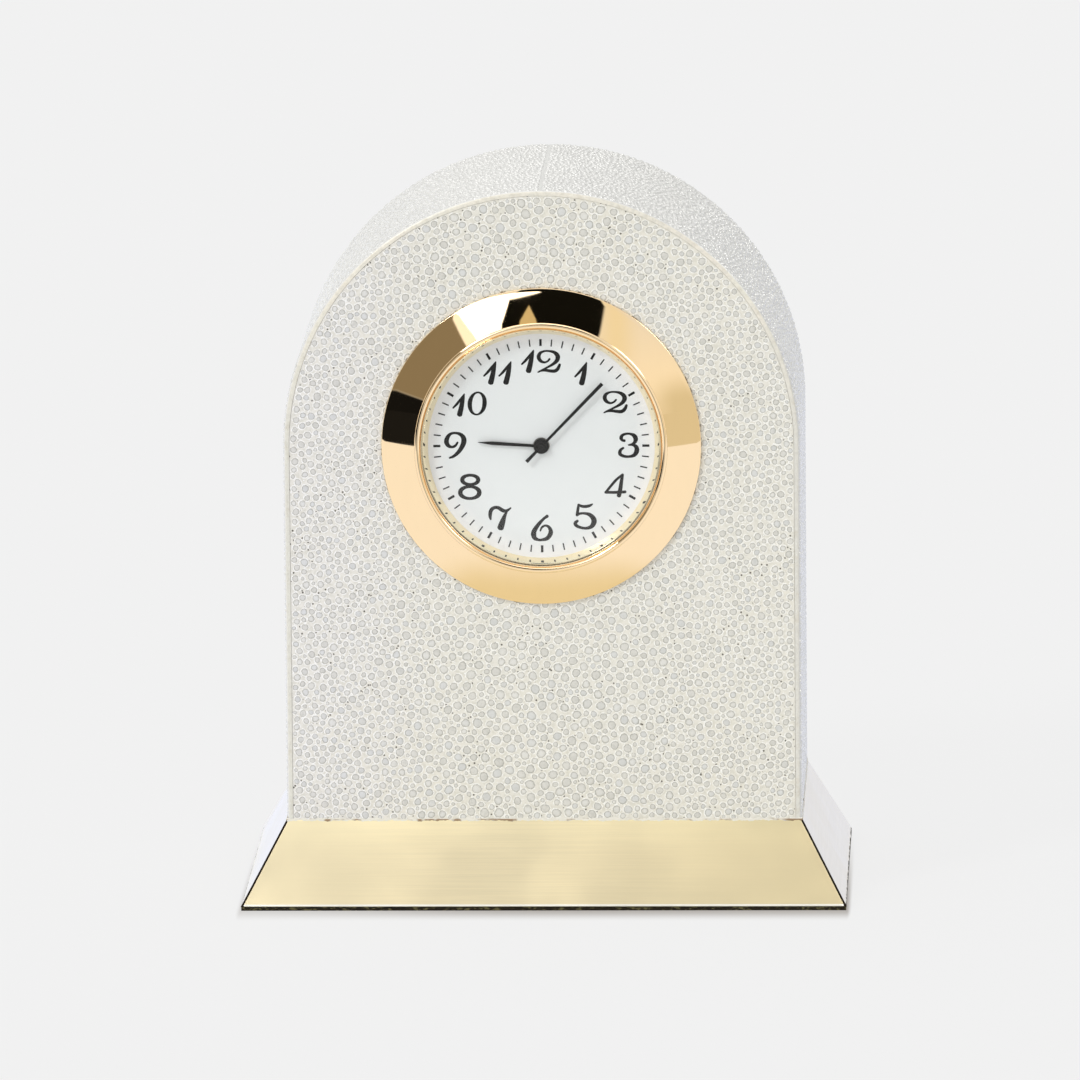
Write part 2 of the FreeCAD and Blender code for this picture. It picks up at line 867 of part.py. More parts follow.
def centre_wheel():
    near, far = centre_level, centre_level + wheel_thickness
    rim = toothed(centre_teeth, centre_module, 0, near, far, centre)
    arbor = barrel(centre_arbor_radius, minute_boss_front + fit, near)
    hub = barrel(arbor_radius, plate_back + fit, bridge_front - fit)
    back_pivot = barrel(pivot_radius, bridge_front - fit, bridge_front + pivot_length)
    return joined([rim, arbor, hub, back_pivot])


def third_wheel():
    near, far = third_level, third_level + wheel_thickness
    rim = toothed(third_teeth, third_module, 0, near, far, third_axis)
    phase = meshing_phase(centre_teeth, third_pinion_teeth, third_direction)
    start = centre_level - pinion_overlap
    leaves = toothed(third_pinion_teeth, centre_module, phase, start, near, third_axis)
    hub = barrel(arbor_radius, plate_back + fit, bridge_front - fit, third_axis)
    return joined([rim, leaves, hub, pivots(third_axis)])


def middle_wheel():
    near, far = middle_level, middle_level + wheel_thickness
    rim = toothed(middle_teeth, rotor_module, 0, near, far, middle_axis)
    phase = meshing_phase(third_teeth, middle_pinion_teeth, middle_direction)
    start = third_level - pinion_overlap
    leaves = toothed(middle_pinion_teeth, third_module, phase, start, near, middle_axis)
    hub = barrel(arbor_radius, plate_back + fit, bridge_front - fit, middle_axis)
    return joined([rim, leaves, hub, pivots(middle_axis)])


def rotor():
    phase = meshing_phase(middle_teeth, rotor_teeth, rotor_direction)
    start = middle_level - pinion_overlap
    end = middle_level + wheel_thickness + pinion_overlap
    leaves = toothed(rotor_teeth, rotor_module, phase, start, end, rotor_axis)
    hub = barrel(arbor_radius, plate_back + fit, bridge_front - fit, rotor_axis)
    return joined([leaves, hub, pivots(rotor_axis)])


def rotor_magnet():
    near, far = magnet_level, magnet_level + magnet_height
    disc = barrel(magnet_radius, near, far, rotor_axis)
    return cut_by(disc, [barrel(arbor_radius, near, far, rotor_axis)])


# Step motor, circuit and cell

def stator():
    """A flat iron yoke that rings the rotor and ends in two arms under the coil's core."""
    u, v = rotor_axis
    hole_radius = magnet_radius + stator_gap
    ring = barrel(hole_radius + stator_wall, stator_front, stator_back, rotor_axis)
    bottom, top = stator_ends()
    column = block(u - stator_column / 3, u + stator_column * 2 / 3, bottom[1], top[1],
                   stator_front, stator_back)
    arms = [arm((u, end[1]), end, stator_arm / 2, stator_front, stator_back)
            for end in (bottom, top)]
    hole = barrel(hole_radius, stator_front - overrun, stator_back + overrun, rotor_axis)
    return cut_by(joined([ring, column] + arms), [hole] + small_screw_solids())


def coil_core():
    bottom, top = stator_ends()
    bar = arm(bottom, top, core_width / 2, stator_back, core_back)
    return cut_by(bar, small_screw_solids())


def coil_winding():
    u, v = coil_axis
    middle = (stator_back + core_back) / 2
    start = FreeCAD.Vector(u, middle, dial_height + v - coil_length / 2)
    spool = Part.makeCylinder(coil_radius, coil_length, start, FreeCAD.Vector(0, 0, 1))
    slot = block(u - core_width / 2, u + core_width / 2, v - coil_length, v + coil_length,
                 stator_back, core_back)
    return cut_by(spool, [slot])


def circuit_board():
    radius = ledge_radius - board_margin
    disc = barrel(radius, board_front, board_back)
    below = block(-radius, radius, -radius, -board_drop, board_front, board_back)
    return cut_by(disc.common(below), small_screw_solids())


def quartz_crystal():
    u, v = crystal_place
    start = FreeCAD.Vector(u - crystal_length / 2, board_back + crystal_radius, dial_height + v)
    return Part.makeCylinder(crystal_radius, crystal_length, start, FreeCAD.Vector(1, 0, 0))


def circuit_chip():
    profile = [
        (0, board_back, 0),
        (chip_radius, board_back, 0),
        (chip_radius, board_back + chip_height, 0),
        (0, board_back + chip_height, 0),
    ]
    return turned(profile, chip_place)


def battery_cell():
    shoulder = cell_front + cell_cap_height
    profile = [
        (0, cell_front, 0),
        (cell_cap_radius, cell_front, cell_bevel),
        (cell_cap_radius, shoulder, 0),
        (cell_radius, shoulder, cell_bevel),
        (cell_radius, cell_back, cell_bevel),
        (0, cell_back, 0),
    ]
    return turned(profile, cell_axis, bevel=True)


def contact_path():
    """The flat lead from under the cell towards the left end of the circuit board."""
    end = board_screws[1]
    return [cell_axis, (setting_axis[0] - contact_side_step, end[1] + contact_side_step)]


def lead(start, bend):
    """A flat lead on the movement plate that bends down and meets the front of the board."""
    far = plate_back + contact_thickness
    end = (bend[0], -board_drop - contact_half_width)
    runs = [(start, bend), (bend, end)]
    strips = [arm(a, b, contact_half_width, plate_back, far) for a, b in runs]
    return strips + [barrel(contact_half_width, plate_back, board_front, end)]


def cap_contact():
    start, bend = contact_path()
    button = barrel(contact_button_radius, plate_back, cell_front, cell_axis)
    return joined(lead(start, bend) + [button])


def can_contact():
    """A spring leaf that stands beside the cell, with its lead to the board."""
    near_side = cell_radius + fit
    outline = [
        (near_side, plate_back, 0),
        (near_side + clip_tab, plate_back, 0),
        (near_side + clip_tab, plate_back + contact_thickness, 0),
        (near_side + contact_thickness, plate_back + contact_thickness, 0),
        (near_side + contact_thickness, cell_back - clip_flare, 0),
        (near_side + contact_thickness + clip_flare, cell_back, 0),
        (near_side + clip_flare, cell_back, 0),
        (near_side, cell_back - clip_flare, 0),
    ]
    low = dial_height - clip_width / 2
    edges = corner_edges(outline, lambda p: FreeCAD.Vector(p.x, p.y, low))
    leaf = face_of(edges).extrude(FreeCAD.Vector(0, 0, clip_width))
    leaf.rotate(FreeCAD.Vector(0, 0, dial_height), FreeCAD.Vector(0, -1, 0), clip_direction)
    leaf.translate(FreeCAD.Vector(cell_axis[0], 0, cell_axis[1]))
    start = polar(cell_axis, near_side + clip_tab, clip_direction)
    bend = contact_path()[1]
    return joined([leaf] + lead(start, (bend[0] - contact_spacing, bend[1])))


def battery_cover():
    seat = cup_back - cover_lip
    profile = [
        (0, cup_floor, 0),
        (plug_radius, cup_floor, 0),
        (plug_radius, seat, 0),
        (cover_radius, seat, 0),
        (cover_radius, cup_back, 0),
        (0, cup_back, 0),
    ]
    notch_place = polar(cell_axis, cover_radius, cell_direction - half_turn)
    notch = barrel(notch_radius, cup_back - notch_depth, cup_back + overrun, notch_place)
    return cut_by(turned(profile, cell_axis), [notch])


def write(name, shape):
    """Writes one named piece, or several separate ones as a group."""
    solids = shape if isinstance(shape, list) else shape.Solids
    whole = solids[0] if len(solids) == 1 else Part.makeCompound(solids)
    whole.exportStep(os.path.join("parts", name + ".step"))


PIECES = {
    "case_core": case_core,
    "wrap_skin": wrap_skin,
    "front_panel": front_panel,
    "back_panel": back_panel,
    "base_core": lambda: cut_by(base_core(), base_screw_mouths()),
    "base_plate_front": lambda: base_plate(0, -1),
    "base_plate_back": lambda: base_plate(0, 1),
    "base_plate_left": lambda: base_plate(-1, 0),
    "base_plate_right": lambda: base_plate(1, 0),
    "base_felt": base_felt,
    "base_screws": base_screw_solids,
    "bezel": bezel,
    "lens": lens,
    "dial_ring": dial_ring,
    "dial": dial,
    "dial_washer": dial_washer,
    "hour_hand": hour_hand,
    "minute_hand": minute_hand,
    "insert_cup": insert_cup,
    "grip_ring": grip_ring,
    "main_plate": main_plate,
    "train_bridge": train_bridge,
    "movement_screws": small_screw_solids,
    "cannon_pinion": cannon_pinion,
    "hour_wheel": hour_wheel,
    "minute_wheel": minute_wheel,
    "setting_stem": setting_stem,
    "setting_knob": setting_knob,
    "centre_wheel": centre_wheel,
    "third_wheel": third_wheel,
    "middle_wheel": middle_wheel,
    "rotor": rotor,
    "rotor_magnet": rotor_magnet,
    "stator": stator,
    "coil_core": coil_core,
    "coil_winding": coil_winding,
    "circuit_board": circuit_board,
    "quartz_crystal": quartz_crystal,
    "circuit_chip": circuit_chip,
    "battery_cell": battery_cell,
    "cap_contact": cap_contact,
    "can_contact": can_contact,
    "battery_cover": battery_cover,
}

os.makedirs("parts", exist_ok=True)
for name, make in PIECES.items():
    write(name, make())
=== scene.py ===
"""The looks of a beehive shelf clock in ray skin and brass, built round its packed model.

Sizes in the code are millimetres, and MM turns them into Blender's metres. X runs to the right
seen from the front, Y from the front to the back and Z up.
"""

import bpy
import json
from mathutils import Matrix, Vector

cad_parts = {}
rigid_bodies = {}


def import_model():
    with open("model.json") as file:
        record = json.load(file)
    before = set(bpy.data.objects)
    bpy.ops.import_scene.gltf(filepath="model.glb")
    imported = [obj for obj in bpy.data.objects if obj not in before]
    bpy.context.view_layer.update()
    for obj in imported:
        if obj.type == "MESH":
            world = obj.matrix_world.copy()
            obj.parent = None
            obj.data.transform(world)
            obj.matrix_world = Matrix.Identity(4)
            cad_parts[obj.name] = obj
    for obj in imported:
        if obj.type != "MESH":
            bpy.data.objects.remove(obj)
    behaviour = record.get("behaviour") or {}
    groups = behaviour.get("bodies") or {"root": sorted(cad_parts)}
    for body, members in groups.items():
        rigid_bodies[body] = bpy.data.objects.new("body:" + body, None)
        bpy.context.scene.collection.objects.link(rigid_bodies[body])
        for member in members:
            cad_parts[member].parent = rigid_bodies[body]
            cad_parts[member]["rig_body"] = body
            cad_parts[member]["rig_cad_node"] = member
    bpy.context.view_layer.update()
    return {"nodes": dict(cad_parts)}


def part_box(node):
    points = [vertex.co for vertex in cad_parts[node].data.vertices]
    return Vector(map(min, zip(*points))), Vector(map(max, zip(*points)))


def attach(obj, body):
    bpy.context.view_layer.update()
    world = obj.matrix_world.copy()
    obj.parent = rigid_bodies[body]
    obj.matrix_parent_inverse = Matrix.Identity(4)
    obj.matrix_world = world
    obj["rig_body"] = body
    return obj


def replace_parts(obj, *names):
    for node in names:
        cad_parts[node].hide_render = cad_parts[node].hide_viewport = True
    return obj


bl_info = {
    "name": "Beehive shelf clock",
    "version": (1, 0, 0),
    "blender": (4, 5, 0),
    "location": "View3D > Sidebar > Clock",
    "description": "Dresses the packed model of a shelf clock in ray skin, brass and gold",
    "category": "Object",
}

import json
import math

import bmesh
import bpy
import numpy as np
from mathutils import Matrix, Vector

for leftover in list(bpy.data.objects):
    bpy.data.objects.remove(leftover)
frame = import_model()

MM = 0.001
FULL_TURN = 2 * math.pi


def reach(node):
    """The low and high corners of a CAD node's box, in millimetres."""
    low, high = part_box(node)
    return np.array(low) / MM, np.array(high) / MM


def levels(red, green, blue):
    """A colour in display levels from 0 to 255, as the linear values that sockets take."""
    share = np.array([red, green, blue]) / 255
    linear = np.where(share <= 0.04045, share / 12.92, ((share + 0.055) / 1.055) ** 2.4)
    return tuple(float(value) for value in linear)


# Places read from the packed model

wrap_low, wrap_high = reach("wrap_skin")
half_case, front, back, foot = wrap_high[0], wrap_low[1], wrap_high[1], wrap_low[2]
dial_height = wrap_high[2] - half_case
leg = dial_height - foot
panel_low, panel_high = reach("front_panel")
half_panel, skin = panel_high[0], panel_high[1] - panel_low[1]
bore = reach("grip_ring")[1][0] + 0.05
bezel_low, bezel_high = reach("bezel")
lens_low, lens_high = reach("lens")
ring_low, ring_high = reach("dial_ring")
dial_low = reach("dial")[0]
plate_low = reach("base_plate_front")[0]
plate_foot, plate_front = plate_low[2], plate_low[1]
splay = -plate_front - back
wrap_length = 2 * leg + math.pi * half_case
wrap_edge = 0.45


# Settings

def length(name, description, default):
    """A size property, given in millimetres and kept in metres."""
    return bpy.props.FloatProperty(
        name=name, description=description, default=default * MM, min=0,
        precision=5, subtype="DISTANCE", unit="LENGTH")


def colour(name, description, *rgb):
    """A colour property, given in display levels."""
    return bpy.props.FloatVectorProperty(
        name=name, description=description, default=levels(*rgb), size=3, min=0, max=1,
        subtype="COLOR")


def share(name, description, default):
    """A plain number, for a roughness or a strength of light."""
    return bpy.props.FloatProperty(
        name=name, description=description, default=default, min=0, max=4, subtype="FACTOR")


class ClockSkin(bpy.types.PropertyGroup):
    """Ray skin of the case"""

    large_stone: length("Large stone", "Radius of the largest stones, down the middle", 0.74)
    side_stone: length("Side stone", "Largest radius towards the sides of a panel", 0.46)
    stone_gap: length("Stone gap", "Least ground between two stones of a panel", 0.31)
    stone_relief: length("Stone relief", "Height of a sanded stone over its ground", 0.05)
    dome: length("Dome", "Radius of the largest domes of the wrap", 0.5)
    dome_gap: length("Dome gap", "Least ground between two domes", 0.06)
    dome_relief: length("Dome relief", "Height of a dome over its ground", 0.17)
    cream: colour("Cream", "Ground between the sanded stones", 239, 236, 225)
    stone: colour("Stone", "Sanded stones", 226, 224, 216)
    silver: colour("Silver", "Domes of the wrap", 243, 242, 238)
    cut_edge: colour("Cut edge", "Polished edge of the wrap", 246, 240, 226)


class ClockMetal(bpy.types.PropertyGroup):
    """Brass plates and gold of the insert"""

    plate: colour("Plate", "Brushed brass of the base", 239, 224, 184)
    gold: colour("Gold", "Polished gold of the bezel", 255, 229, 190)
    plate_round: length("Plate edge", "Rounding of the plates' edges", 0.2)
    plate_roughness: share("Plate roughness", "Roughness across the brushing", 0.34)
    gold_roughness: share("Gold roughness", "Roughness of the polished gold", 0.025)


class ClockDial(bpy.types.PropertyGroup):
    """Dial and hands"""

    enamel: colour("Enamel", "Face of the dial", 241, 245, 244)
    ink: colour("Ink", "Numerals and minute marks", 8, 8, 8)
    hand: colour("Hand", "Hands", 10, 10, 10)
    mark_outer: length("Mark outer end", "Radius at the marks' outer ends", 16.9)
    mark_inner: length("Mark inner end", "Radius at the marks' inner ends", 15.8)
    mark_bold: length("Hour mark width", "Width of every fifth mark", 0.38)
    mark_fine: length("Minute mark width", "Width of the other marks", 0.2)


class ClockStage(bpy.types.PropertyGroup):
    """Floor, light and camera"""

    ground: colour("Ground", "Floor and background", 241, 241, 241)
    sky: share("Sky", "Level light from all sides", 0.785)
    sun: share("Sun", "Lamp from the upper left", 0.74)
    table_front: length("Table edge", "Where the table ends in front, as metal shows it", 405)


# Meshes

def grid(rows, columns, wrap_rows=False, wrap_columns=False):
    """Quads of a grid of points that are numbered row after row, closed either way if asked."""
    row, column = np.meshgrid(
        np.arange(rows - (not wrap_rows)), np.arange(columns - (not wrap_columns)),
        indexing="ij")
    below, beside = (row + 1) % rows, (column + 1) % columns
    quads = [row * columns + column, row * columns + beside,
             below * columns + beside, below * columns + column]
    return np.stack(quads, -1).reshape(-1, 4)


def no_faces(sides):
    return np.empty((0, sides), int)


def capped(rings):
    """Quads of a bar: rings of four points one after the other, closed at both ends."""
    last = 4 * rings - 4
    caps = [[3, 2, 1, 0], [last, last + 1, last + 2, last + 3]]
    return np.concatenate([grid(rings, 4, False, True), caps])


def fan(centre, first, count, inward=False):
    """Triangles from a centre point to each side of a ring of points numbered from first."""
    here = first + np.arange(count)
    triangles = np.stack([np.full(count, centre), here, np.roll(here, -1)], -1)
    return triangles[:, ::-1] if inward else triangles


def volume(points, quads, triangles):
    """Signed volume: the sum over the triangles of a . (b x c) / 6."""
    cut = np.concatenate([quads[:, [0, 1, 2]], quads[:, [0, 2, 3]], triangles])
    a, b, c = (points[cut[:, k]] for k in range(3))
    return np.einsum("ij,ij->", a, np.cross(b, c)) / 6


def new_piece(name, surface, body, material, uv=None, marks=(),
              smooth_below=math.radians(30)):
    """Makes a closed mesh, turned face out, on its body. Its surface is its points in
    millimetres, its quads and its triangles.

    uv has a row for each point, and -1 where the point is out of sight: the faces there have
    no share of the bake. marks are named values, one for each point."""
    points, quads, triangles = surface
    if volume(points, quads, triangles) < 0:
        quads, triangles = quads[:, ::-1], triangles[:, ::-1]
    corners = np.concatenate([quads.ravel(), triangles.ravel()]).astype(np.int32)
    starts = np.concatenate([np.arange(len(quads)) * 4,
                             len(quads) * 4 + np.arange(len(triangles)) * 3])
    mesh = bpy.data.meshes.new(name)
    mesh.vertices.add(len(points))
    mesh.vertices.foreach_set("co", (points * MM).ravel().astype(np.float32))
    mesh.loops.add(len(corners))
    mesh.polygons.add(len(starts))
    mesh.polygons.foreach_set("loop_start", starts.astype(np.int32))
    mesh.polygons.foreach_set("vertices", corners)
    mesh.update(calc_edges=True)
    if uv is not None:
        spread = uv[corners]
        of_face = np.concatenate([np.repeat(np.arange(len(quads)), 4),
                                  len(quads) + np.repeat(np.arange(len(triangles)), 3)])
        hidden = np.zeros(len(starts), bool)
        hidden[of_face[(spread < 0).any(1)]] = True
        spread[hidden[of_face]] = 0
        layer = mesh.uv_layers.new(name="OFBake")
        layer.uv.foreach_set("vector", spread.ravel().astype(np.float32))
    for label, values in marks:
        layer = mesh.attributes.new(label, "FLOAT", "POINT")
        layer.data.foreach_set("value", values.ravel().astype(np.float32))
    mesh.shade_smooth()
    mesh.set_sharp_from_angle(angle=smooth_below)
    return placed(bpy.data.objects.new(name, mesh), body, material)


def placed(piece, body, material):
    """Links a finished piece, gives it its material and sets it on its body."""
    bpy.context.scene.collection.objects.link(piece)
    piece.data.materials.clear()
    piece.data.materials.append(material)
    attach(piece, body)
    return piece


def rounded(corners, steps=6):
    """The closed outline through corners (a, b, radius), each cut off by an arc of its radius
    that touches both of its sides."""
    outline = []
    for index, (a, b, radius) in enumerate(corners):
        here = np.array([a, b], float)
        if radius == 0:
            outline.append([here])
            continue
        before = np.array(corners[index - 1][:2]) - here
        after = np.array(corners[(index + 1) % len(corners)][:2]) - here
        before, after = before / np.linalg.norm(before), after / np.linalg.norm(after)
        half = math.acos(np.clip(before @ after, -1, 1)) / 2
        inward = (before + after) / np.linalg.norm(before + after)
        middle = here + inward * radius / math.sin(half)
        touch = radius / math.tan(half)
        start, end = here + before * touch - middle, here + after * touch - middle
        first = math.atan2(start[1], start[0])
        sweep = (math.atan2(end[1], end[0]) - first + math.pi) % FULL_TURN - math.pi
        angle = first + sweep * np.linspace(0, 1, steps + 1)
        outline.append(middle + radius * np.stack([np.cos(angle), np.sin(angle)], -1))
    return np.concatenate(outline)


def turned(profile, segments, closed=True):
    """Points (r, y) carried round the dial's axis: x = r cos t, z = height + r sin t. A closed
    profile joins its last point to its first, and an open one runs from axis to axis."""
    profile = np.asarray(profile, float)
    angle = np.linspace(0, FULL_TURN, segments, endpoint=False)
    ring = profile if closed else profile[1:-1]
    x = ring[:, :1] * np.cos(angle)
    z = dial_height + ring[:, :1] * np.sin(angle)
    y = np.repeat(ring[:, 1:], segments, axis=1)
    points = np.stack([x, y, z], -1).reshape(-1, 3)
    quads = grid(len(ring), segments, closed, True)
    if closed:
        return points, quads, no_faces(3)
    poles = [[0, profile[0, 1], dial_height], [0, profile[-1, 1], dial_height]]
    fans = [fan(len(points), 0, segments, inward=True),
            fan(len(points) + 1, len(points) - segments, segments)]
    return np.concatenate([points, poles]), quads, np.concatenate(fans)


def copied(node, name):
    """A copy of a CAD node and its mesh, free of its body and of the frame's own marks."""
    piece = frame["nodes"][node].copy()
    piece.data = piece.data.copy()
    piece.name = name
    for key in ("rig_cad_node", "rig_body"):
        del piece[key]
    piece.parent = None
    return piece


def bevelled_copy(node, name, material, width, segments):
    """A copy of a CAD node with its loose triangles merged into faces and its edges rounded."""
    piece = copied(node, name)
    shape = bmesh.new()
    shape.from_mesh(piece.data)
    bmesh.ops.remove_doubles(shape, verts=shape.verts, dist=0.001 * MM)
    bmesh.ops.dissolve_limit(shape, angle_limit=math.radians(1), verts=shape.verts,
                             edges=shape.edges)
    shape.to_mesh(piece.data)
    shape.free()
    piece.data.shade_smooth()
    piece.data.set_sharp_from_angle(angle=math.radians(30))
    bevel = piece.modifiers.new("Edges", "BEVEL")
    bevel.width = width * MM
    bevel.segments = segments
    bevel.limit_method = "ANGLE"
    bevel.angle_limit = math.radians(35)
    bevel.harden_normals = True
    placed(piece, frame["nodes"][node]["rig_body"], material)
    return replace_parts(piece, node)


# Shader graphs

def scale_for(size):
    """The texture scale whose features have a size in millimetres."""
    return 1 / (size * MM)


def darker(rgb, factor):
    return tuple(value * factor for value in rgb)


class Graph:
    """Adds nodes to a tree. Each method but node() gives back the new node's output."""

    def __init__(self, tree):
        self.tree = tree

    def feed(self, socket, value):
        if isinstance(value, bpy.types.NodeSocket):
            self.tree.links.new(value, socket)
        elif socket.type == "RGBA" and len(value) == 3:
            socket.default_value = (*value, 1)
        else:
            socket.default_value = value

    def node(self, kind, inputs=(), **settings):
        made = self.tree.nodes.new("ShaderNode" + kind)
        for key, value in settings.items():
            setattr(made, key, value)
        for key, value in dict(inputs).items():
            self.feed(made.inputs[key], value)
        return made

    def math(self, operation, *values):
        return self.node("Math", enumerate(values), operation=operation).outputs[0]

    def times(self, *values):
        """All the values multiplied."""
        product = values[0]
        for value in values[1:]:
            product = self.math("MULTIPLY", product, value)
        return product

    def mix(self, factor, first, second, blend="MIX"):
        return self.node("Mix", {0: factor, 6: first, 7: second}, data_type="RGBA",
                         blend_type=blend).outputs[2]

    def tint(self, base, mask, share, *colour):
        """The base with a share of a colour, in display levels, laid over it by the mask."""
        return self.mix(self.times(mask, share), base, levels(*colour))

    def blend(self, factor, first, second):
        return self.node("Mix", {0: factor, 2: first, 3: second}).outputs[0]

    def step(self, value, low, high):
        """Smoothly from 0 at low to 1 at high."""
        inputs = {"Value": value, "From Min": low, "From Max": high}
        return self.node("MapRange", inputs, interpolation_type="SMOOTHSTEP").outputs[0]

    def scaled_noise(self, vector, scale, detail, roughness=0.5):
        inputs = {"Vector": vector, "Scale": scale, "Detail": detail, "Roughness": roughness}
        return self.node("TexNoise", inputs).outputs["Fac"]

    def noise(self, vector, size, detail=3.0, roughness=0.5):
        """Noise with features of a size in millimetres."""
        return self.scaled_noise(vector, scale_for(size), detail, roughness)

    def stretch(self, vector, *scale):
        return self.node("Mapping", {"Vector": vector, "Scale": scale}).outputs[0]

    def split(self, vector):
        return self.node("SeparateXYZ", {"Vector": vector}).outputs

    def effect(self, name, **values):
        made = self.node("Group", node_tree=bpy.data.node_groups[name])
        for key, value in values.items():
            self.feed(made.inputs[key], value)
        return made.outputs


def effect_group(name, build, numbers, outputs):
    """A shader node group, built once: build(graph, inputs) gives its outputs in order."""
    tree = bpy.data.node_groups.new(name, "ShaderNodeTree")
    add = tree.interface.new_socket
    add("Vector", in_out="INPUT", socket_type="NodeSocketVector")
    for label, value in numbers.items():
        add(label, in_out="INPUT", socket_type="NodeSocketFloat").default_value = value
    for label in outputs:
        add(label, in_out="OUTPUT", socket_type="NodeSocketFloat")
    enter, leave = tree.nodes.new("NodeGroupInput"), tree.nodes.new("NodeGroupOutput")
    for socket, value in zip(leave.inputs, build(Graph(tree), enter.outputs)):
        tree.links.new(value, socket)


def build_grain(g, enter):
    """Two sizes of noise: the coarse one shades, the fine one roughens."""
    fine = g.scaled_noise(enter["Vector"], enter["Scale"], 4.0)
    return g.scaled_noise(enter["Vector"], g.times(enter["Scale"], 0.17), 2.0), fine


def build_pores(g, enter):
    """Random points: a pore is where the distance to one is under the size, and only a share
    of the points has one."""
    spots = g.node("TexVoronoi", {"Vector": enter["Vector"], "Scale": enter["Scale"]})
    inside = g.step(spots.outputs["Distance"], enter["Size"], g.times(enter["Size"], 0.65))
    chosen = g.math("LESS_THAN", g.split(spots.outputs["Color"])[0], enter["Share"])
    return (g.times(inside, chosen),)


def build_brushing(g, enter):
    """Noise drawn out along one axis into hairlines: the mean of fine and coarse ones."""
    fine = g.scaled_noise(enter["Vector"], enter["Scale"], 2.0)
    coarse = g.scaled_noise(enter["Vector"], g.times(enter["Scale"], 0.28), 3.0)
    mean = g.times(g.math("ADD", fine, coarse), 0.5)
    return mean, g.step(mean, 0.35, 0.65)


def build_handling(g, enter):
    """Faint smudges: slow noise between a least and a most value."""
    slow = g.scaled_noise(enter["Vector"], enter["Scale"], 5.0, 0.6)
    return (g.blend(g.step(slow, 0.35, 0.7), enter["Least"], enter["Most"]),)


def build_fibres(g, enter):
    """Short crossed fibres: two stretched noises at right angles, the higher one wins."""
    along = g.noise(g.stretch(enter["Vector"], 0.25, 1, 1), 0.16, 2.0)
    across = g.noise(g.stretch(enter["Vector"], 1, 0.25, 1), 0.16, 2.0)
    return (g.math("MAXIMUM", along, across),)


def build_effects():
    """Makes the groups: name, what builds it, its numbers with their defaults, its outputs."""
    scale = {"Scale": 1000.0}
    for effect in (
            ("Grain", build_grain, scale, ["Shade", "Rough"]),
            ("Pores", build_pores, {**scale, "Size": 0.1, "Share": 0.5}, ["Mask"]),
            ("Brushing", build_brushing, scale, ["Height", "Streak"]),
            ("Handling", build_handling, {**scale, "Least": 0.2, "Most": 0.4}, ["Roughness"]),
            ("Fibres", build_fibres, {}, ["Height"])):
        effect_group(*effect)


class Finish(Graph):
    """A material with a Principled shader. place is the Object coordinates. Sizes of patterns
    are in millimetres."""

    def __init__(self, name, **sockets):
        self.material = bpy.data.materials.new(name)
        self.material.use_nodes = True
        super().__init__(self.material.node_tree)
        self.tree.nodes.clear()
        self.shader = self.node("BsdfPrincipled")
        self.output = self.node("OutputMaterial")
        self.tree.links.new(self.shader.outputs[0], self.output.inputs["Surface"])
        self.place = self.node("TexCoord").outputs["Object"]
        self.set(**sockets)

    def set(self, **sockets):
        """Sockets by name, with words joined by _ : Base_Color, Coat_Weight."""
        for key, value in sockets.items():
            self.feed(self.shader.inputs[key.replace("_", " ")], value)

    def relief(self, height, depth):
        """A bump whose whole range is a depth in millimetres. Gives the finished material."""
        inputs = {"Height": height, "Strength": 1.0, "Distance": depth * MM}
        self.set(Normal=self.node("Bump", inputs).outputs[0])
        return self.material

    def mark(self, name):
        """A value that the mesh holds for each of its points."""
        return self.node("Attribute", attribute_name=name).outputs["Fac"]

    def grain(self, size):
        """Shade and roughness of a fine grain."""
        return self.effect("Grain", Vector=self.place, Scale=scale_for(size))

    def pores(self, apart, size, share):
        return self.effect("Pores", Vector=self.place, Scale=scale_for(apart), Size=size,
                           Share=share)[0]

    def smudge(self, size, least, most):
        return self.effect("Handling", Vector=self.place, Scale=scale_for(size), Least=least,
                           Most=most)[0]

    def patches(self, low, high, size, *noise):
        """Where noise of a size is above low, and all where it is above high."""
        return self.step(self.noise(self.place, size, *noise), low, high)

    def shader_or(self, factor, other):
        """Lets another shader take the place of this one by a factor."""
        mixed = self.node("MixShader", {0: factor, 1: self.shader.outputs[0],
                                        2: other.outputs[0]})
        self.tree.links.new(mixed.outputs[0], self.output.inputs["Surface"])


# Skin materials

def painted_cool_light_left(f, base):
    """Painted cool light: the skin's colour made a little bluer on its left, for the cooler
    light there.
    """
    cool = f.step(f.split(f.place)[0], -10 * MM, -35 * MM)
    return f.mix(cool, base, (1.0, 1.003, 1.06), "MULTIPLY")


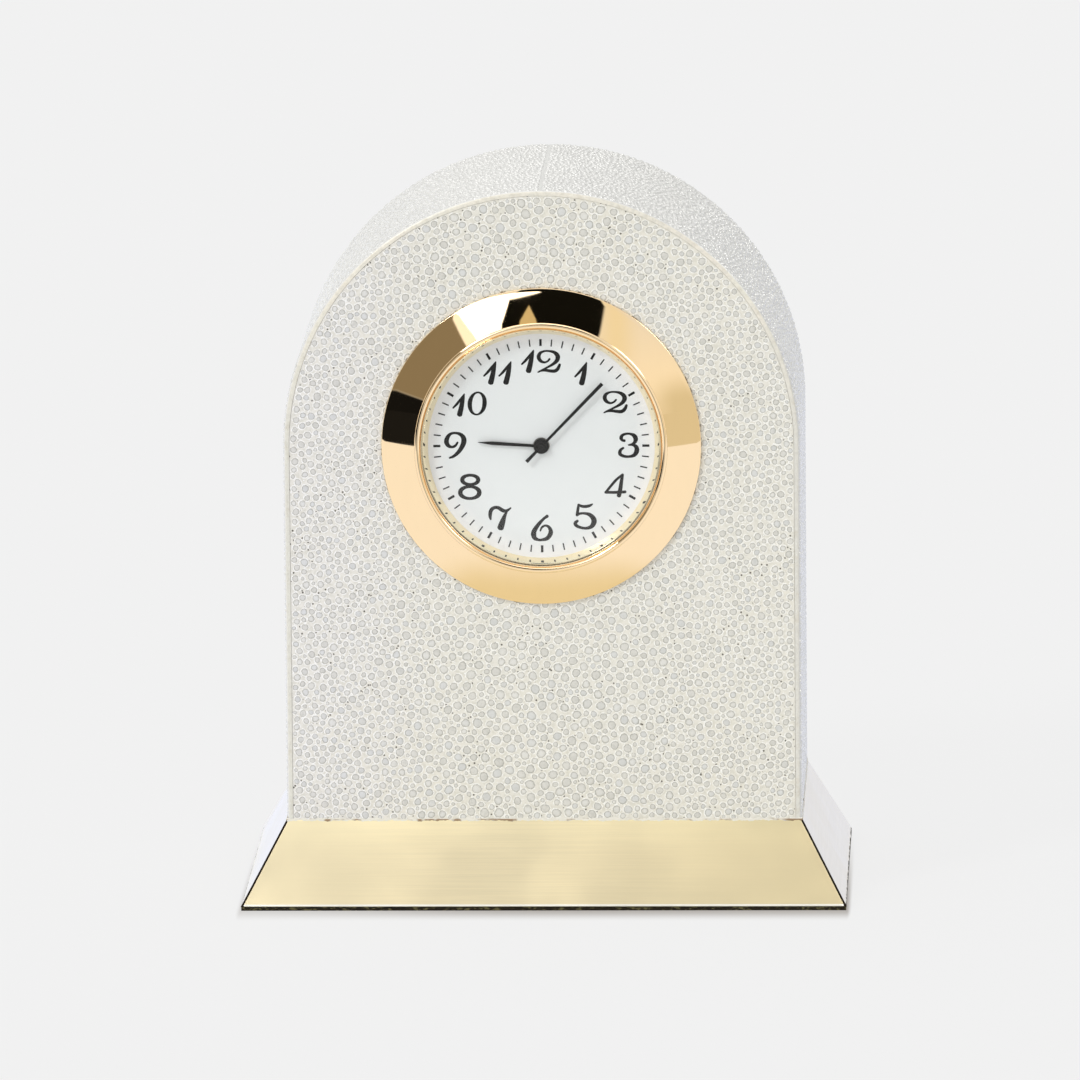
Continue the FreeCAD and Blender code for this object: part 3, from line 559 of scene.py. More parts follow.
def cream_skin():
    """Sanded ground: cream resin with a fine grain, yellower patches, dark pores, white specks
    that are painted glints, and a brown line along the foot."""
    look = bpy.context.scene.clock_skin
    f = Finish("cream_skin", Coat_Weight=0.25, Coat_Roughness=0.22, Specular_IOR_Level=0.45)
    shade, rough = f.grain(0.35)
    pores = f.times(f.pores(0.7, 0.25, 0.9), f.patches(0.4, 0.5, 9, 2.0))
    specks = f.pores(0.62, 0.14, 0.35)
    patches = f.patches(0.42, 0.72, 16, 2.0)
    base = f.mix(shade, darker(look.cream, 0.95), look.cream)
    base = f.tint(base, patches, 0.35, 237, 232, 214)
    base = f.tint(base, f.patches(0.42, 0.66, 0.55, 2.0), 0.5, 212, 210, 196)
    # Painted glints: white specks laid on the ground where its pores would catch the light.
    white = f.pores(0.75, 0.17, 0.75)
    base = f.tint(base, white, f.step(patches, 0.9, 0.1), 255, 255, 252)
    base = f.tint(base, specks, 0.6, 186, 181, 166)
    base = f.tint(base, pores, 0.95, 66, 58, 46)
    # Browner towards the foot, over the skin's lowest 0.28 mm.
    browner_at_foot = f.step(f.split(f.place)[2], (foot + 0.28) * MM, (foot + 0.05) * MM)
    base = f.tint(base, browner_at_foot, 0.55, 150, 128, 92)
    # The ground gets painted cool light on its left.
    f.set(Base_Color=painted_cool_light_left(f, base), Roughness=f.blend(rough, 0.34, 0.5))
    return f.relief(f.math("SUBTRACT", rough, f.times(pores, 2.0)), 0.012)


def sanded_stone():
    """Flat stones: each is mottled in its own tone, with a ragged dark rim, and the resin round
    it is paler in a broken ring."""
    look = bpy.context.scene.clock_skin
    f = Finish("sanded_stone", Coat_Weight=0.3, Coat_Roughness=0.18, Specular_IOR_Level=0.45)
    tone = f.mark("tone")
    ragged = f.math("SUBTRACT", f.noise(f.place, 0.28, 3.0, 0.65), 0.5)
    rim = f.math("MULTIPLY_ADD", ragged, 1.5, f.mark("rim"))
    shade, rough = f.grain(0.22)
    base = f.mix(tone, darker(look.stone, 0.95), f.mix(0.3, look.stone, levels(236, 234, 226)))
    base = f.tint(base, f.patches(0.44, 0.62, 0.42, 3.0, 0.6), 0.55, 203, 202, 193)
    pale = f.step(f.math("FRACT", f.times(tone, 3.17)), 0.3, 0.9)
    base = f.tint(base, f.times(f.step(rim, 0.6, 0.1), pale), 0.85, 236, 235, 229)
    cool = f.step(f.math("FRACT", f.times(tone, 7.31)), 0.62, 0.95)
    base = f.tint(base, cool, 0.4, 214, 218, 221)
    base = f.tint(base, rough, 0.18, 196, 196, 190)
    base = f.tint(base, f.step(rim, 0.5, 1.0), f.blend(tone, 1.0, 0.65), 168, 167, 157)
    halo = f.mix(f.patches(0.42, 0.6, 0.5, 3.0, 0.6), levels(255, 254, 248),
                 levels(234, 231, 219))
    base = f.mix(f.step(rim, 1.05, 1.9), base, halo)
    # The stones get painted cool light on the left.
    f.set(Base_Color=painted_cool_light_left(f, base), Roughness=f.blend(shade, 0.3, 0.46))
    return f.relief(rough, 0.006)


def silver_skin():
    """Unsanded ground between the domes: pearl grey, cream where its cut edge shows."""
    look = bpy.context.scene.clock_skin
    f = Finish("silver_skin", Coat_Weight=0.3, Coat_Roughness=0.25, Metallic=0.1)
    shade, rough = f.grain(0.3)
    base = f.mix(shade, darker(look.silver, 0.78), darker(look.silver, 0.92))
    edge = f.mix(f.patches(0.35, 0.7, 9, 3.0), look.cut_edge, levels(243, 240, 226))
    # The cut edge turns greyer from 28 mm above the dial's axis down to 5 mm below it.
    greyer_low = f.step(f.split(f.place)[2], (dial_height + 28) * MM, (dial_height - 5) * MM)
    edge = f.tint(edge, greyer_low, 0.8, 227, 226, 219)
    edge = f.tint(edge, f.patches(0.42, 0.64, 0.6, 4.0, 0.65), 0.45, 212, 210, 200)
    edge = f.tint(edge, f.patches(0.5, 0.68, 1.4, 4.0, 0.65), 0.3, 202, 192, 168)
    away = f.math("ABSOLUTE", f.split(f.place)[1])
    cut = f.step(away, (back - 0.16) * MM, (back - 0.05) * MM)
    f.set(Base_Color=f.mix(cut, base, edge), Roughness=f.blend(rough, 0.3, 0.45))
    return f.relief(rough, 0.01)


def silver_dome():
    """Glossy pearl domes: each has its own tone, with a fine grain that breaks the glints."""
    look = bpy.context.scene.clock_skin
    f = Finish("silver_dome", Coat_Weight=1.0, Coat_Roughness=0.05, Metallic=0.3)
    tone = f.mark("tone")
    base = f.mix(tone, darker(look.silver, 0.82), look.silver)
    base = f.mix(f.times(f.step(f.mark("rim"), 0.5, 1.0), 0.5), base, darker(look.silver, 0.72))
    f.set(Base_Color=base, Roughness=f.blend(f.math("FRACT", f.times(tone, 5.7)), 0.14, 0.34))
    return f.relief(f.grain(0.2)[1], 0.008)


def cut_edge():
    """Cut edge of the skin round the bezel: cream, with dark and gilt specks, partly the edge's
    own colour and partly painted shade of the line between bezel and skin.
    """
    f = Finish("cut_edge")
    shade, rough = f.grain(0.3)
    base = f.mix(shade, levels(206, 196, 170), levels(238, 232, 214))
    # Brown specks: partly painted shade along the join with the bezel.
    base = f.tint(base, f.patches(0.5, 0.6, 0.9, 3.0, 0.6), 0.8, 112, 84, 48)
    f.set(Base_Color=base, Roughness=f.blend(rough, 0.4, 0.6))
    return f.relief(rough, 0.01)


def foot_resin():
    """Resin squeezed out under the skin: cream, brown in patches low down."""
    f = Finish("foot_resin", Coat_Weight=0.2)
    shade, rough = f.grain(0.3)
    base = f.mix(shade, levels(226, 222, 208), levels(244, 241, 230))
    under = f.step(f.split(f.place)[2], (foot + 0.14) * MM, (foot + 0.04) * MM)
    patches = f.times(f.patches(0.52, 0.6, 5, 3.0, 0.6), under)
    f.set(Base_Color=f.tint(base, patches, 0.9, 140, 108, 64),
          Roughness=f.blend(rough, 0.35, 0.6))
    return f.relief(rough, 0.01)


# Metal materials

GLUE = (32, 22, 9)


def brushed_plate(name, along):
    """Lacquered brass brushed along one axis, in hairlines stretched 80 times. The plates that
    are brushed along X have painted light: paler to the left and the top, darker to the right,
    and a painted highlight on their foot edge.
    Those brushed along Y have glue smeared along their foot. Glue darkens the mitres too."""
    look = bpy.context.scene.clock_metal
    f = Finish(name, Coat_Roughness=0.12, Specular_IOR_Level=0.08)
    squeeze = (0.012, 1, 1) if along == "X" else (1, 0.012, 1)
    height, streak = f.effect("Brushing", Vector=f.stretch(f.place, *squeeze),
                              Scale=scale_for(0.1))
    smudge = f.smudge(18, look.plate_roughness - 0.05, look.plate_roughness + 0.06)
    base = f.mix(f.times(streak, 0.55), look.plate, darker(look.plate, 0.88))
    base = f.tint(base, f.noise(f.place, 26, 2.0), 0.12, 238, 216, 170)
    x, y, z = f.split(f.place)
    # Band along the plates' foot: a painted highlight on the X plates, glue smears on the Y
    # plates.
    low = f.step(z, (plate_foot + 0.42) * MM, (plate_foot + 0.28) * MM)
    corner = f.math("SUBTRACT", f.math("ABSOLUTE", x), f.math("ABSOLUTE", y))
    off = f.math("ABSOLUTE", f.math("SUBTRACT", corner, (half_case - back) * MM))
    ragged = f.math("MULTIPLY_ADD", f.noise(f.place, 0.8, 3.0), 0.08 * MM, 0.09 * MM)
    glued = f.step(off, ragged, f.math("SUBTRACT", ragged, 0.09 * MM))
    glued = f.times(glued, f.math("LESS_THAN", y, 0.0))
    if along == "X":
        # Painted light: paler to the left, darker to the right and paler towards the top.
        base = f.mix(f.step(x, -10 * MM, -50 * MM), base, levels(245, 230, 190))
        base = f.mix(f.step(x, -10 * MM, 50 * MM), base, levels(224, 208, 165))
        upper = f.step(z, (plate_foot + 7) * MM, foot * MM)
        base = f.mix(upper, base, (1.07, 1.08, 1.07), "MULTIPLY")
        # Painted highlight: the foot edge made near white, as if catching the light.
        base = f.mix(low, base, levels(255, 253, 244))
    else:
        smear = f.times(low, f.patches(0.44, 0.54, 1.5, 3.0, 0.65))
        glued = f.math("MAXIMUM", glued, smear)
    bare = f.math("SUBTRACT", 1.0, glued)
    f.set(Base_Color=f.mix(glued, base, levels(*GLUE)), Metallic=bare, Coat_Weight=bare,
          Roughness=f.math("MAXIMUM", smudge, f.times(glued, 0.6)))
    return f.relief(height, 0.004)


def polished_gold(name, tint, least, most):
    """Polished gold plate with faint wipe marks and the finest of hairlines."""
    f = Finish(name, Metallic=1.0, Coat_Weight=0.1, Coat_Roughness=0.03)
    streak = f.noise(f.stretch(f.place, 1, 1, 0.2), 1.2, 4.0)
    f.set(Base_Color=f.mix(f.times(streak, 0.18), tint, darker(tint, 0.86)),
          Roughness=f.smudge(7, least, most))
    return f.relief(streak, 0.0006)


def plain_metal(name, rgb, roughness):
    """Metal with a fine grain, tarnished a little in slow patches."""
    f = Finish(name, Metallic=1.0)
    shade, rough = f.grain(0.3)
    f.set(Base_Color=f.mix(shade, darker(rgb, 0.72), rgb),
          Roughness=f.smudge(3, roughness * 0.75, roughness * 1.3))
    return f.relief(rough, 0.003)


# Other materials

def moulded(name, rgb, roughness, grain=0.25, depth=0.006, **sockets):
    """Moulded plastic or rubber: a spark-eroded grain and slow variation in gloss."""
    f = Finish(name, **sockets)
    shade, rough = f.grain(grain)
    f.set(Base_Color=f.mix(shade, darker(rgb, 0.86), rgb),
          Roughness=f.smudge(5, roughness * 0.85, roughness * 1.2))
    return f.relief(rough, depth)


def clear_glass():
    """Mineral glass. Lamps and diffuse light pass straight through, so the dial is lit."""
    clear = (1.0, 1.0, 1.0)
    f = Finish("mineral_glass", Transmission_Weight=1.0, IOR=1.5, Base_Color=clear)
    f.set(Roughness=f.smudge(6, 0.0, 0.018))
    path = f.node("LightPath").outputs
    through = f.math("MAXIMUM", path["Is Shadow Ray"], path["Is Diffuse Ray"])
    f.shader_or(through, f.node("BsdfTransparent", {"Color": clear}))
    return f.material


def dial_enamel():
    """White lacquer, painted whiter near its edge against the shade the bezel casts there, with
    an orange-peel that shows only in a glint.
    """
    look = bpy.context.scene.clock_dial
    f = Finish("dial_enamel", Coat_Weight=0.4, Coat_Roughness=0.12)
    shade, rough = f.grain(0.5)
    place = f.split(f.place)
    up = f.math("SUBTRACT", place[2], dial_height * MM)
    out = f.math("SQRT", f.math("ADD", f.times(place[0], place[0]), f.times(up, up)))
    base = f.mix(shade, darker(look.enamel, 0.975), look.enamel)
    # Painted light: whiter from 14.5 mm out to 18 mm, to offset the shade near the rim.
    f.set(Base_Color=f.mix(f.step(out, 14.5 * MM, 18 * MM), base, levels(255, 255, 254)),
          Roughness=f.blend(rough, 0.36, 0.48))
    return f.relief(rough, 0.003)


def printed_ink():
    """Ink with a ragged density, as pad printing leaves it."""
    f = Finish("printed_ink", Specular_IOR_Level=0.04)
    shade, rough = f.grain(0.12)
    f.set(Base_Color=f.mix(rough, bpy.context.scene.clock_dial.ink, levels(22, 22, 22)),
          Roughness=f.blend(shade, 0.45, 0.6))
    return f.relief(rough, 0.004)


def hand_lacquer():
    """Black lacquer on the pressed hands."""
    f = Finish("hand_lacquer", Specular_IOR_Level=0.1)
    shade, rough = f.grain(0.2)
    f.set(Base_Color=f.mix(shade, bpy.context.scene.clock_dial.hand, levels(18, 18, 18)),
          Roughness=f.blend(rough, 0.28, 0.42))
    return f.relief(rough, 0.003)


def case_board():
    """Pale board: long grain along Z, rings of growth and short dark flecks."""
    f = Finish("case_board")
    x, y, z = f.split(f.place)
    across = f.math("ADD", x, f.times(f.noise(f.place, 30, 2.0), 12 * MM))
    bent = f.node("CombineXYZ", {"X": across, "Y": y, "Z": f.times(z, 0.06)}).outputs[0]
    rings = f.math("FRACT", f.times(across, scale_for(3.4)))
    fibre = f.noise(bent, 0.5, 4.0)
    base = f.mix(f.step(rings, 0.2, 1.0), levels(204, 168, 118), levels(176, 134, 84))
    f.set(Base_Color=f.tint(base, fibre, 0.5, 148, 108, 66),
          Roughness=f.blend(fibre, 0.55, 0.75))
    return f.relief(fibre, 0.03)


def base_cloth():
    """Dark olive felt: matted short fibres, paler where they stand up, with painted glints in
    uneven patches.
    """
    f = Finish("base_cloth", Sheen_Weight=0.1, Sheen_Roughness=0.5, Specular_IOR_Level=0.2)
    fibres = f.effect("Fibres", Vector=f.place)[0]
    base = f.mix(f.step(fibres, 0.45, 0.8), levels(24, 18, 10), levels(52, 45, 28))
    # Painted glints: pale olive patches, standing in for light caught along the felt.
    painted_felt_glints = f.step(f.noise(f.stretch(f.place, 0.4, 0.4, 1), 0.3, 3.0), 0.52, 0.64)
    f.set(Base_Color=f.tint(base, painted_felt_glints, 0.6, 118, 112, 76),
          Roughness=f.blend(fibres, 0.85, 1.0))
    return f.relief(fibres, 0.08)


def blacked_end(name, dull, bright, metallic):
    """A wheel's material, blacked on the end of its pipe or arbor that stands out at the
    hands."""
    f = Finish(name, Specular_IOR_Level=0.15)
    out = f.math("LESS_THAN", f.split(f.place)[1], (dial_low[1] - 0.2) * MM)
    shade, rough = f.grain(0.3)
    f.set(Base_Color=f.mix(out, f.mix(shade, dull, bright), levels(18, 16, 14)),
          Metallic=f.times(f.math("SUBTRACT", 1.0, out), metallic),
          Roughness=f.blend(rough, 0.25, 0.4))
    return f.relief(rough, 0.003)


def copper_coil():
    """Enamelled wire laid side by side along the coil."""
    f = Finish("copper_coil", Metallic=0.85, Coat_Weight=0.6, Coat_Roughness=0.1)
    turn = f.math("FRACT", f.times(f.split(f.place)[2], scale_for(0.12)))
    ridge = f.math("SINE", f.times(turn, math.pi))
    f.set(Base_Color=f.tint(levels(214, 122, 66), f.noise(f.place, 0.7, 2.0), 0.6, 150, 72, 40),
          Roughness=f.blend(ridge, 0.42, 0.24))
    return f.relief(ridge, 0.03)


def board_resin():
    """Brown phenolic board with a pale weave under its varnish."""
    f = Finish("board_resin", Coat_Weight=0.3)
    fibres = f.effect("Fibres", Vector=f.place)[0]
    f.set(Base_Color=f.mix(fibres, levels(122, 80, 40), levels(166, 118, 62)),
          Roughness=f.blend(fibres, 0.3, 0.5))
    return f.relief(fibres, 0.01)


# Operators

class ClockPiece:
    """What all the operators of the clock share."""

    bl_options = {"REGISTER", "UNDO"}

    def execute(self, context):
        self.build(context.scene)
        return {"FINISHED"}


def arch_border(angle, half):
    """How far the arch's outline is from the dial's axis, in the direction of an angle: the
    round top's radius above the axis, and the nearer of leg and foot below it."""
    side = half / np.maximum(np.abs(np.cos(angle)), 1e-9)
    down = leg / np.maximum(-np.sin(angle), 1e-9)
    return np.where(np.sin(angle) >= 0, half, np.minimum(side, down))


def arch_plate(half, hole, near, far):
    """A flat arch from near to far with a round hole, or whole where the hole is nothing."""
    corner = math.atan2(-leg, half)
    angle = np.concatenate([
        np.linspace(0, math.pi, 97), np.linspace(math.pi, math.pi - corner, 14)[1:],
        np.linspace(math.pi - corner, FULL_TURN + corner, 22)[1:],
        np.linspace(FULL_TURN + corner, FULL_TURN, 14)[1:-1]])
    border = arch_border(angle, half)
    rings = [(border, near), (border, far)]
    if hole:
        rings = [(hole + 0 * angle, near), *rings, (hole + 0 * angle, far)]
    points = np.concatenate([
        np.stack([r * np.cos(angle), y + 0 * angle, dial_height + r * np.sin(angle)], -1)
        for r, y in rings])
    count = len(angle)
    quads = grid(len(rings), count, bool(hole), True)
    if hole:
        return points, quads, no_faces(3)
    poles = [[0, near, dial_height], [0, far, dial_height]]
    fans = [fan(len(points), 0, count, inward=True), fan(len(points) + 1, count, count)]
    return np.concatenate([points, poles]), quads, np.concatenate(fans)


def flat_uv(points, seen):
    """Bake coordinates of a panel, seen from the front: x and z over the case's own size."""
    size = max(2 * half_case, wrap_high[2] - foot) * 1.02
    uv = np.stack([points[:, 0] + half_case, points[:, 2] - foot], -1) / size + 0.005
    uv[~seen] = -1
    return uv


class CLOCK_OT_skin_panels(ClockPiece, bpy.types.Operator):
    """Grounds of the front and back panels, sunk by the height of the stones"""

    bl_idname = "clock.skin_panels"
    bl_label = "Skin panels"

    def build(self, scene):
        look = scene.clock_skin
        cream = cream_skin()
        sunk, under_wrap = look.stone_relief / MM, 0.06
        for name, node, hole, near, far in (
                ("front_skin", "front_panel", bore, front + sunk, front + skin),
                ("back_skin", "back_panel", 0, back - skin, back - sunk)):
            plate = arch_plate(half_panel + under_wrap, hole, near, far)
            piece = new_piece(name, plate, "case", cream)
            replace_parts(piece, node)


def wrap_place(along, rise):
    """Where a length along the wrap's path is, at a rise over the case's outline: up the left
    leg, round the top, down the right leg. Gives x and z."""
    turn = math.pi - np.clip((along - leg) / half_case, 0, math.pi)
    drop = np.minimum(along - leg, 0) + np.minimum(wrap_length - leg - along, 0)
    radius = half_case + rise
    return radius * np.cos(turn), dial_height + radius * np.sin(turn) + drop


def edge_drop(across):
    """How far the rounded edge of the wrap falls away at a place across it:
    e - sqrt(e2 - t2), where t is how far the place is into the rounding e."""
    past = np.clip(np.abs(across) - (back - wrap_edge), 0, wrap_edge)
    return wrap_edge - np.sqrt(wrap_edge ** 2 - past ** 2)


class CLOCK_OT_skin_wrap(ClockPiece, bpy.types.Operator):
    """Ground of the wrap: a rounded strip carried up, over and down round the case"""

    bl_idname = "clock.skin_wrap"
    bl_label = "Skin wrap"

    def build(self, scene):
        sunk = scene.clock_skin.dome_relief / MM
        outline = rounded([(-skin, front, 0), (-skin, back, 0), (-sunk, back, wrap_edge),
                           (-sunk, front, wrap_edge)], steps=8)
        along = np.concatenate([[0], np.linspace(leg, wrap_length - leg, 145), [wrap_length]])
        x, z = wrap_place(along[:, None], outline[None, :, 0])
        y = np.repeat(outline[None, :, 1], len(along), 0)
        points = np.stack([x, y, z], -1).reshape(-1, 3)
        count = len(outline)
        quads = grid(len(along), count, False, True)
        ends = points.reshape(len(along), -1, 3)[[0, -1]].mean(1)
        fans = np.concatenate([
            fan(len(points), 0, count),
            fan(len(points) + 1, len(points) - count, count, inward=True)])
        surface = np.concatenate([points, ends]), quads, fans
        piece = new_piece("wrap_ground", surface, "case", silver_skin())
        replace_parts(piece, "wrap_skin")


CELL = 0.1  # side of the squares that grains are placed by

# Sizes of grains: share of the largest radius, and how many are on a square millimetre
STONE_SIZES = ((1, 0.02), (0.92, 0.035), (0.83, 0.05), (0.74, 0.08), (0.65, 0.12),
               (0.57, 0.14), (0.49, 0.14), (0.42, 0.12), (0.35, 0.08))
DOME_SIZES = ((1, 0.15), (0.88, 0.3), (0.76, 0.4), (0.64, 0.6))

# Circles of a grain from its top down: share of the radius, added width, height, rim mark
STONE_RINGS = ((0.5, 0, 1.0, 0.2), (0.84, 0, 0.93, 0.6), (0.97, 0, 0.6, 1.0),
               (1.0, 0.1, 0.4, 1.8), (1.0, 0.25, 0.1, 2.0))
DOME_RINGS = ((0.45, 0, 0.86, 0.4), (0.82, 0, 0.42, 0.75), (1.0, 0, 0.0, 1.0))


def scatter(down, across, room, limit, area, large, sizes, gap, shift, random):
    """Places and radii of round grains that never touch, largest first.

    down and across are the places of the cells' rows and columns. room holds for each cell the
    distance to the nearest grain or border, and limit the largest radius there. Cells with room
    for the grain and its gap are drawn at random. A grain goes where the room is still there,
    and lowers the distances round it. In the end each is shifted a little."""
    columns = room.shape[1]
    widest = large + gap
    found = []
    for share_of_large, density in sizes:
        size = share_of_large * large
        goal = len(found) + int(area * density)
        for _ in range(12):
            free = np.flatnonzero((room >= size + gap) & (limit >= size))
            if not len(free) or len(found) >= goal:
                break
            for pick in random.choice(free, min(len(free), goal - len(found) + 50)):
                row, column = divmod(int(pick), columns)
                if room[row, column] < size + gap or len(found) >= goal:
                    continue
                radius = size * random.uniform(0.9, 1.0)
                found.append((row, column, radius))
                reach_cells = int((radius + widest) / CELL) + 1
                low_row, low_column = max(row - reach_cells, 0), max(column - reach_cells, 0)
                part = room[low_row:row + reach_cells + 1, low_column:column + reach_cells + 1]
                rows_off = low_row + np.arange(part.shape[0])[:, None] - row
                columns_off = low_column + np.arange(part.shape[1]) - column
                np.minimum(part, np.hypot(rows_off, columns_off) * CELL - radius, out=part)
    row, column, radii = np.array(found).T
    places = np.stack([down[row.astype(int), 0], across[0, column.astype(int)]], -1)
    return places + random.uniform(-shift, shift, places.shape), radii


def grains(places, radii, sides, rings, foot_depth, wave, random):
    """Domes on a flat field: circles round a top point, closed by a point underneath.

    A circle has two slow waves, r = R (1 + a sin(2t + p) + 0.7 a sin(3t + q))."""
    count, turns = len(radii), np.linspace(0, FULL_TURN, sides, endpoint=False)
    phase = random.uniform(0, FULL_TURN, (count, 2, 1))
    wobble = 1 + wave * np.sin(2 * turns + phase[:, 0]) + wave * 0.7 * np.sin(
        3 * turns + phase[:, 1])
    rings = np.array(rings)
    spread = (radii[:, None, None] * rings[None, :, 0, None] + rings[None, :, 1, None])
    spread = spread * wobble[:, None, :]
    a = places[:, 0, None, None] + spread * np.cos(turns)
    b = places[:, 1, None, None] + spread * np.sin(turns)
    h = np.broadcast_to(rings[None, :, 2, None], a.shape)
    rim = np.broadcast_to(rings[None, :, 3, None], a.shape)
    body = np.stack([a, b, h, rim], -1).reshape(count, -1, 4)
    top = np.stack([places[:, 0], places[:, 1], np.full(count, rings[:, 2].max()),
                    np.zeros(count)], -1)
    bottom = top.copy()
    bottom[:, 2], bottom[:, 3] = foot_depth, rings[-1, 3]
    table = np.concatenate([body, top[:, None], bottom[:, None]], 1)
    size = table.shape[1]
    quads = grid(len(rings), sides, False, True)
    fans = np.concatenate([fan(size - 2, 0, sides, inward=True),
                           fan(size - 1, size - 2 - sides, sides)])
    offset = np.arange(count)[:, None, None] * size
    buried = np.zeros((count, size), bool)
    buried[:, -1] = True
    tone = np.repeat(random.uniform(0, 1, count), size)
    return (table.reshape(-1, 4), (quads + offset).reshape(-1, 4),
            (fans + offset).reshape(-1, 3), buried.ravel(), tone)


def inside_arch(x, z, half):
    """Points pulled in to the arch's outline where they are past it."""
    x = np.clip(x, -half, half)
    up = z - dial_height
    far = np.hypot(x, up)
    pull = np.where((up > 0) & (far > half), half / np.maximum(far, 1e-9), 1)
    return x * pull, np.maximum(dial_height + up * pull, foot + 0.03)


class CLOCK_OT_stones(ClockPiece, bpy.types.Operator):
    """Sanded stones of the front and back panels, large down the middle, small at the sides"""

    bl_idname = "clock.stones"
    bl_label = "Sanded stones"

    def build(self, scene):
        look = scene.clock_skin
        stone = sanded_stone()
        overlap, middle, spread = 0.25, -1.5, 20
        gap, relief = look.stone_gap / MM, look.stone_relief / MM
        large, side = look.large_stone / MM, look.side_stone / MM
        x = np.arange(-half_panel, half_panel, CELL)[:, None]
        z = np.arange(foot, wrap_high[2], CELL)[None, :]
        up = z - dial_height
        border = np.where(up > 0, half_panel - np.hypot(x, up), half_panel - np.abs(x))
        border = np.minimum(border, z - foot)
        for name, seed, hole, surface, out in (
                ("front", 3, bore + 0.4, front + relief, -1),
                ("back", 5, 0, back - relief, 1)):
            random = np.random.default_rng(seed)
            room = np.minimum(border, np.hypot(x, up) - hole if hole else np.inf) + overlap
            limit = side + (large - side) * np.exp(-((x - middle) / spread) ** 2)
            limit = limit + random.normal(0, 0.06, room.shape)
            area = float((room > overlap).sum()) * CELL * CELL
            places, radii = scatter(x, z, room, limit, area, large, STONE_SIZES, gap, CELL / 2,
                                    random)
            upper = places[:, 1] > dial_height - 8
            for part, chosen in (("upper", upper), ("lower", ~upper)):
                table, quads, triangles, buried, tone = grains(
                    places[chosen], radii[chosen], 9, STONE_RINGS, -0.4, 0.065, random)
                a, b = inside_arch(table[:, 0], table[:, 1], half_panel)
                points = np.stack([a, surface + out * relief * table[:, 2], b], -1)
                new_piece(f"{name}_stones_{part}", (points, quads, triangles), "case",
                          stone, flat_uv(points, ~buried),
                          [("tone", tone), ("rim", table[:, 3])], math.radians(80))


class CLOCK_OT_domes(ClockPiece, bpy.types.Operator):
    """Unsanded domes of the wrap, set on its unrolled strip and bent round with it, and a fine
    bare seam across its top"""

    bl_idname = "clock.domes"
    bl_label = "Wrap domes"

    def build(self, scene):
        look = scene.clock_skin
        dome = silver_dome()
        gap, relief, large = look.dome_gap / MM, look.dome_relief / MM, look.dome / MM
        random = np.random.default_rng(11)
        bare, pieces = 0.06, 5
        edge = back - bare
        along = np.arange(0, wrap_length, CELL)[:, None]
        across = np.arange(-edge, edge, CELL)[None, :]
        room = np.minimum(np.minimum(along, wrap_length - along), edge - np.abs(across))
        room = np.minimum(room, np.abs(along - wrap_length / 2) - bare)
        limit = large + random.normal(0, 0.03, room.shape)
        area = room.size * CELL * CELL
        places, radii = scatter(along, across, room, limit, area, large, DOME_SIZES, gap, 0.03,
                                random)
        part = np.minimum((places[:, 0] / wrap_length * pieces).astype(int), pieces - 1)
        for number in range(pieces):
            chosen = part == number
            table, quads, triangles, buried, tone = grains(
                places[chosen], radii[chosen], 7, DOME_RINGS, -0.3, 0.05, random)
            x, z = wrap_place(table[:, 0], relief * (table[:, 2] - 1) - edge_drop(table[:, 1]))
            points = np.stack([x, table[:, 1], z], -1)
            start = wrap_length * number / pieces
            size = max(wrap_length / pieces, 2 * back) * 1.04
            uv = np.stack([table[:, 0] - start + 0.6, table[:, 1] + back], -1) / size
            uv[buried] = -1
            new_piece(f"wrap_domes_{number + 1}", (points, quads, triangles), "case",
                      dome, uv, [("tone", tone), ("rim", table[:, 3])],
                      math.radians(80))


class CLOCK_OT_base(ClockPiece, bpy.types.Operator):
    """Brushed plates of the base with softened edges, its felt, board and screws"""

    bl_idname = "clock.base"
    bl_label = "Base"

    def build(self, scene):
        width = scene.clock_metal.plate_round / MM
        across = brushed_plate("brushed_brass_x", "X")
        deep = brushed_plate("brushed_brass_y", "Y")
        for side, brass in (("front", across), ("back", across), ("left", deep),
                            ("right", deep)):
            bevelled_copy(f"base_plate_{side}", f"brass_{side}", brass, width, 3)
        wood = case_board()
        for node in ("case_core", "base_core"):
            dress(node, wood)
        self.felt()
        dress("base_screws", plain_metal("zinc_steel", levels(196, 198, 202), 0.3))

    def felt(self):
        """The felt, with its border pulled out almost to the foot of the plates."""
        cloth = copied("base_felt", "felt_cloth")
        places = np.empty(3 * len(cloth.data.vertices), np.float32)
        cloth.data.vertices.foreach_get("co", places)
        places = places.reshape(-1, 3)
        border = (np.array([half_case, back]) + splay - 0.06) * MM
        flat = places[:, :2]
        places[:, :2] = np.where(np.abs(flat) > border - 2 * MM, np.sign(flat) * border, flat)
        cloth.data.vertices.foreach_set("co", places.ravel())
        placed(cloth, "case", base_cloth())
        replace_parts(cloth, "base_felt")


def wavering(turns, heights, least, seed):
    """Two rows of 1 plus the sum of four waves h sin(turn + phase), and never under least."""
    phase = np.random.default_rng(seed).uniform(0, FULL_TURN, (2, 4, 1))
    waves = np.sin(turns + phase) * np.array(heights)[:, None]
    return np.maximum(1 + waves.sum(1), least)


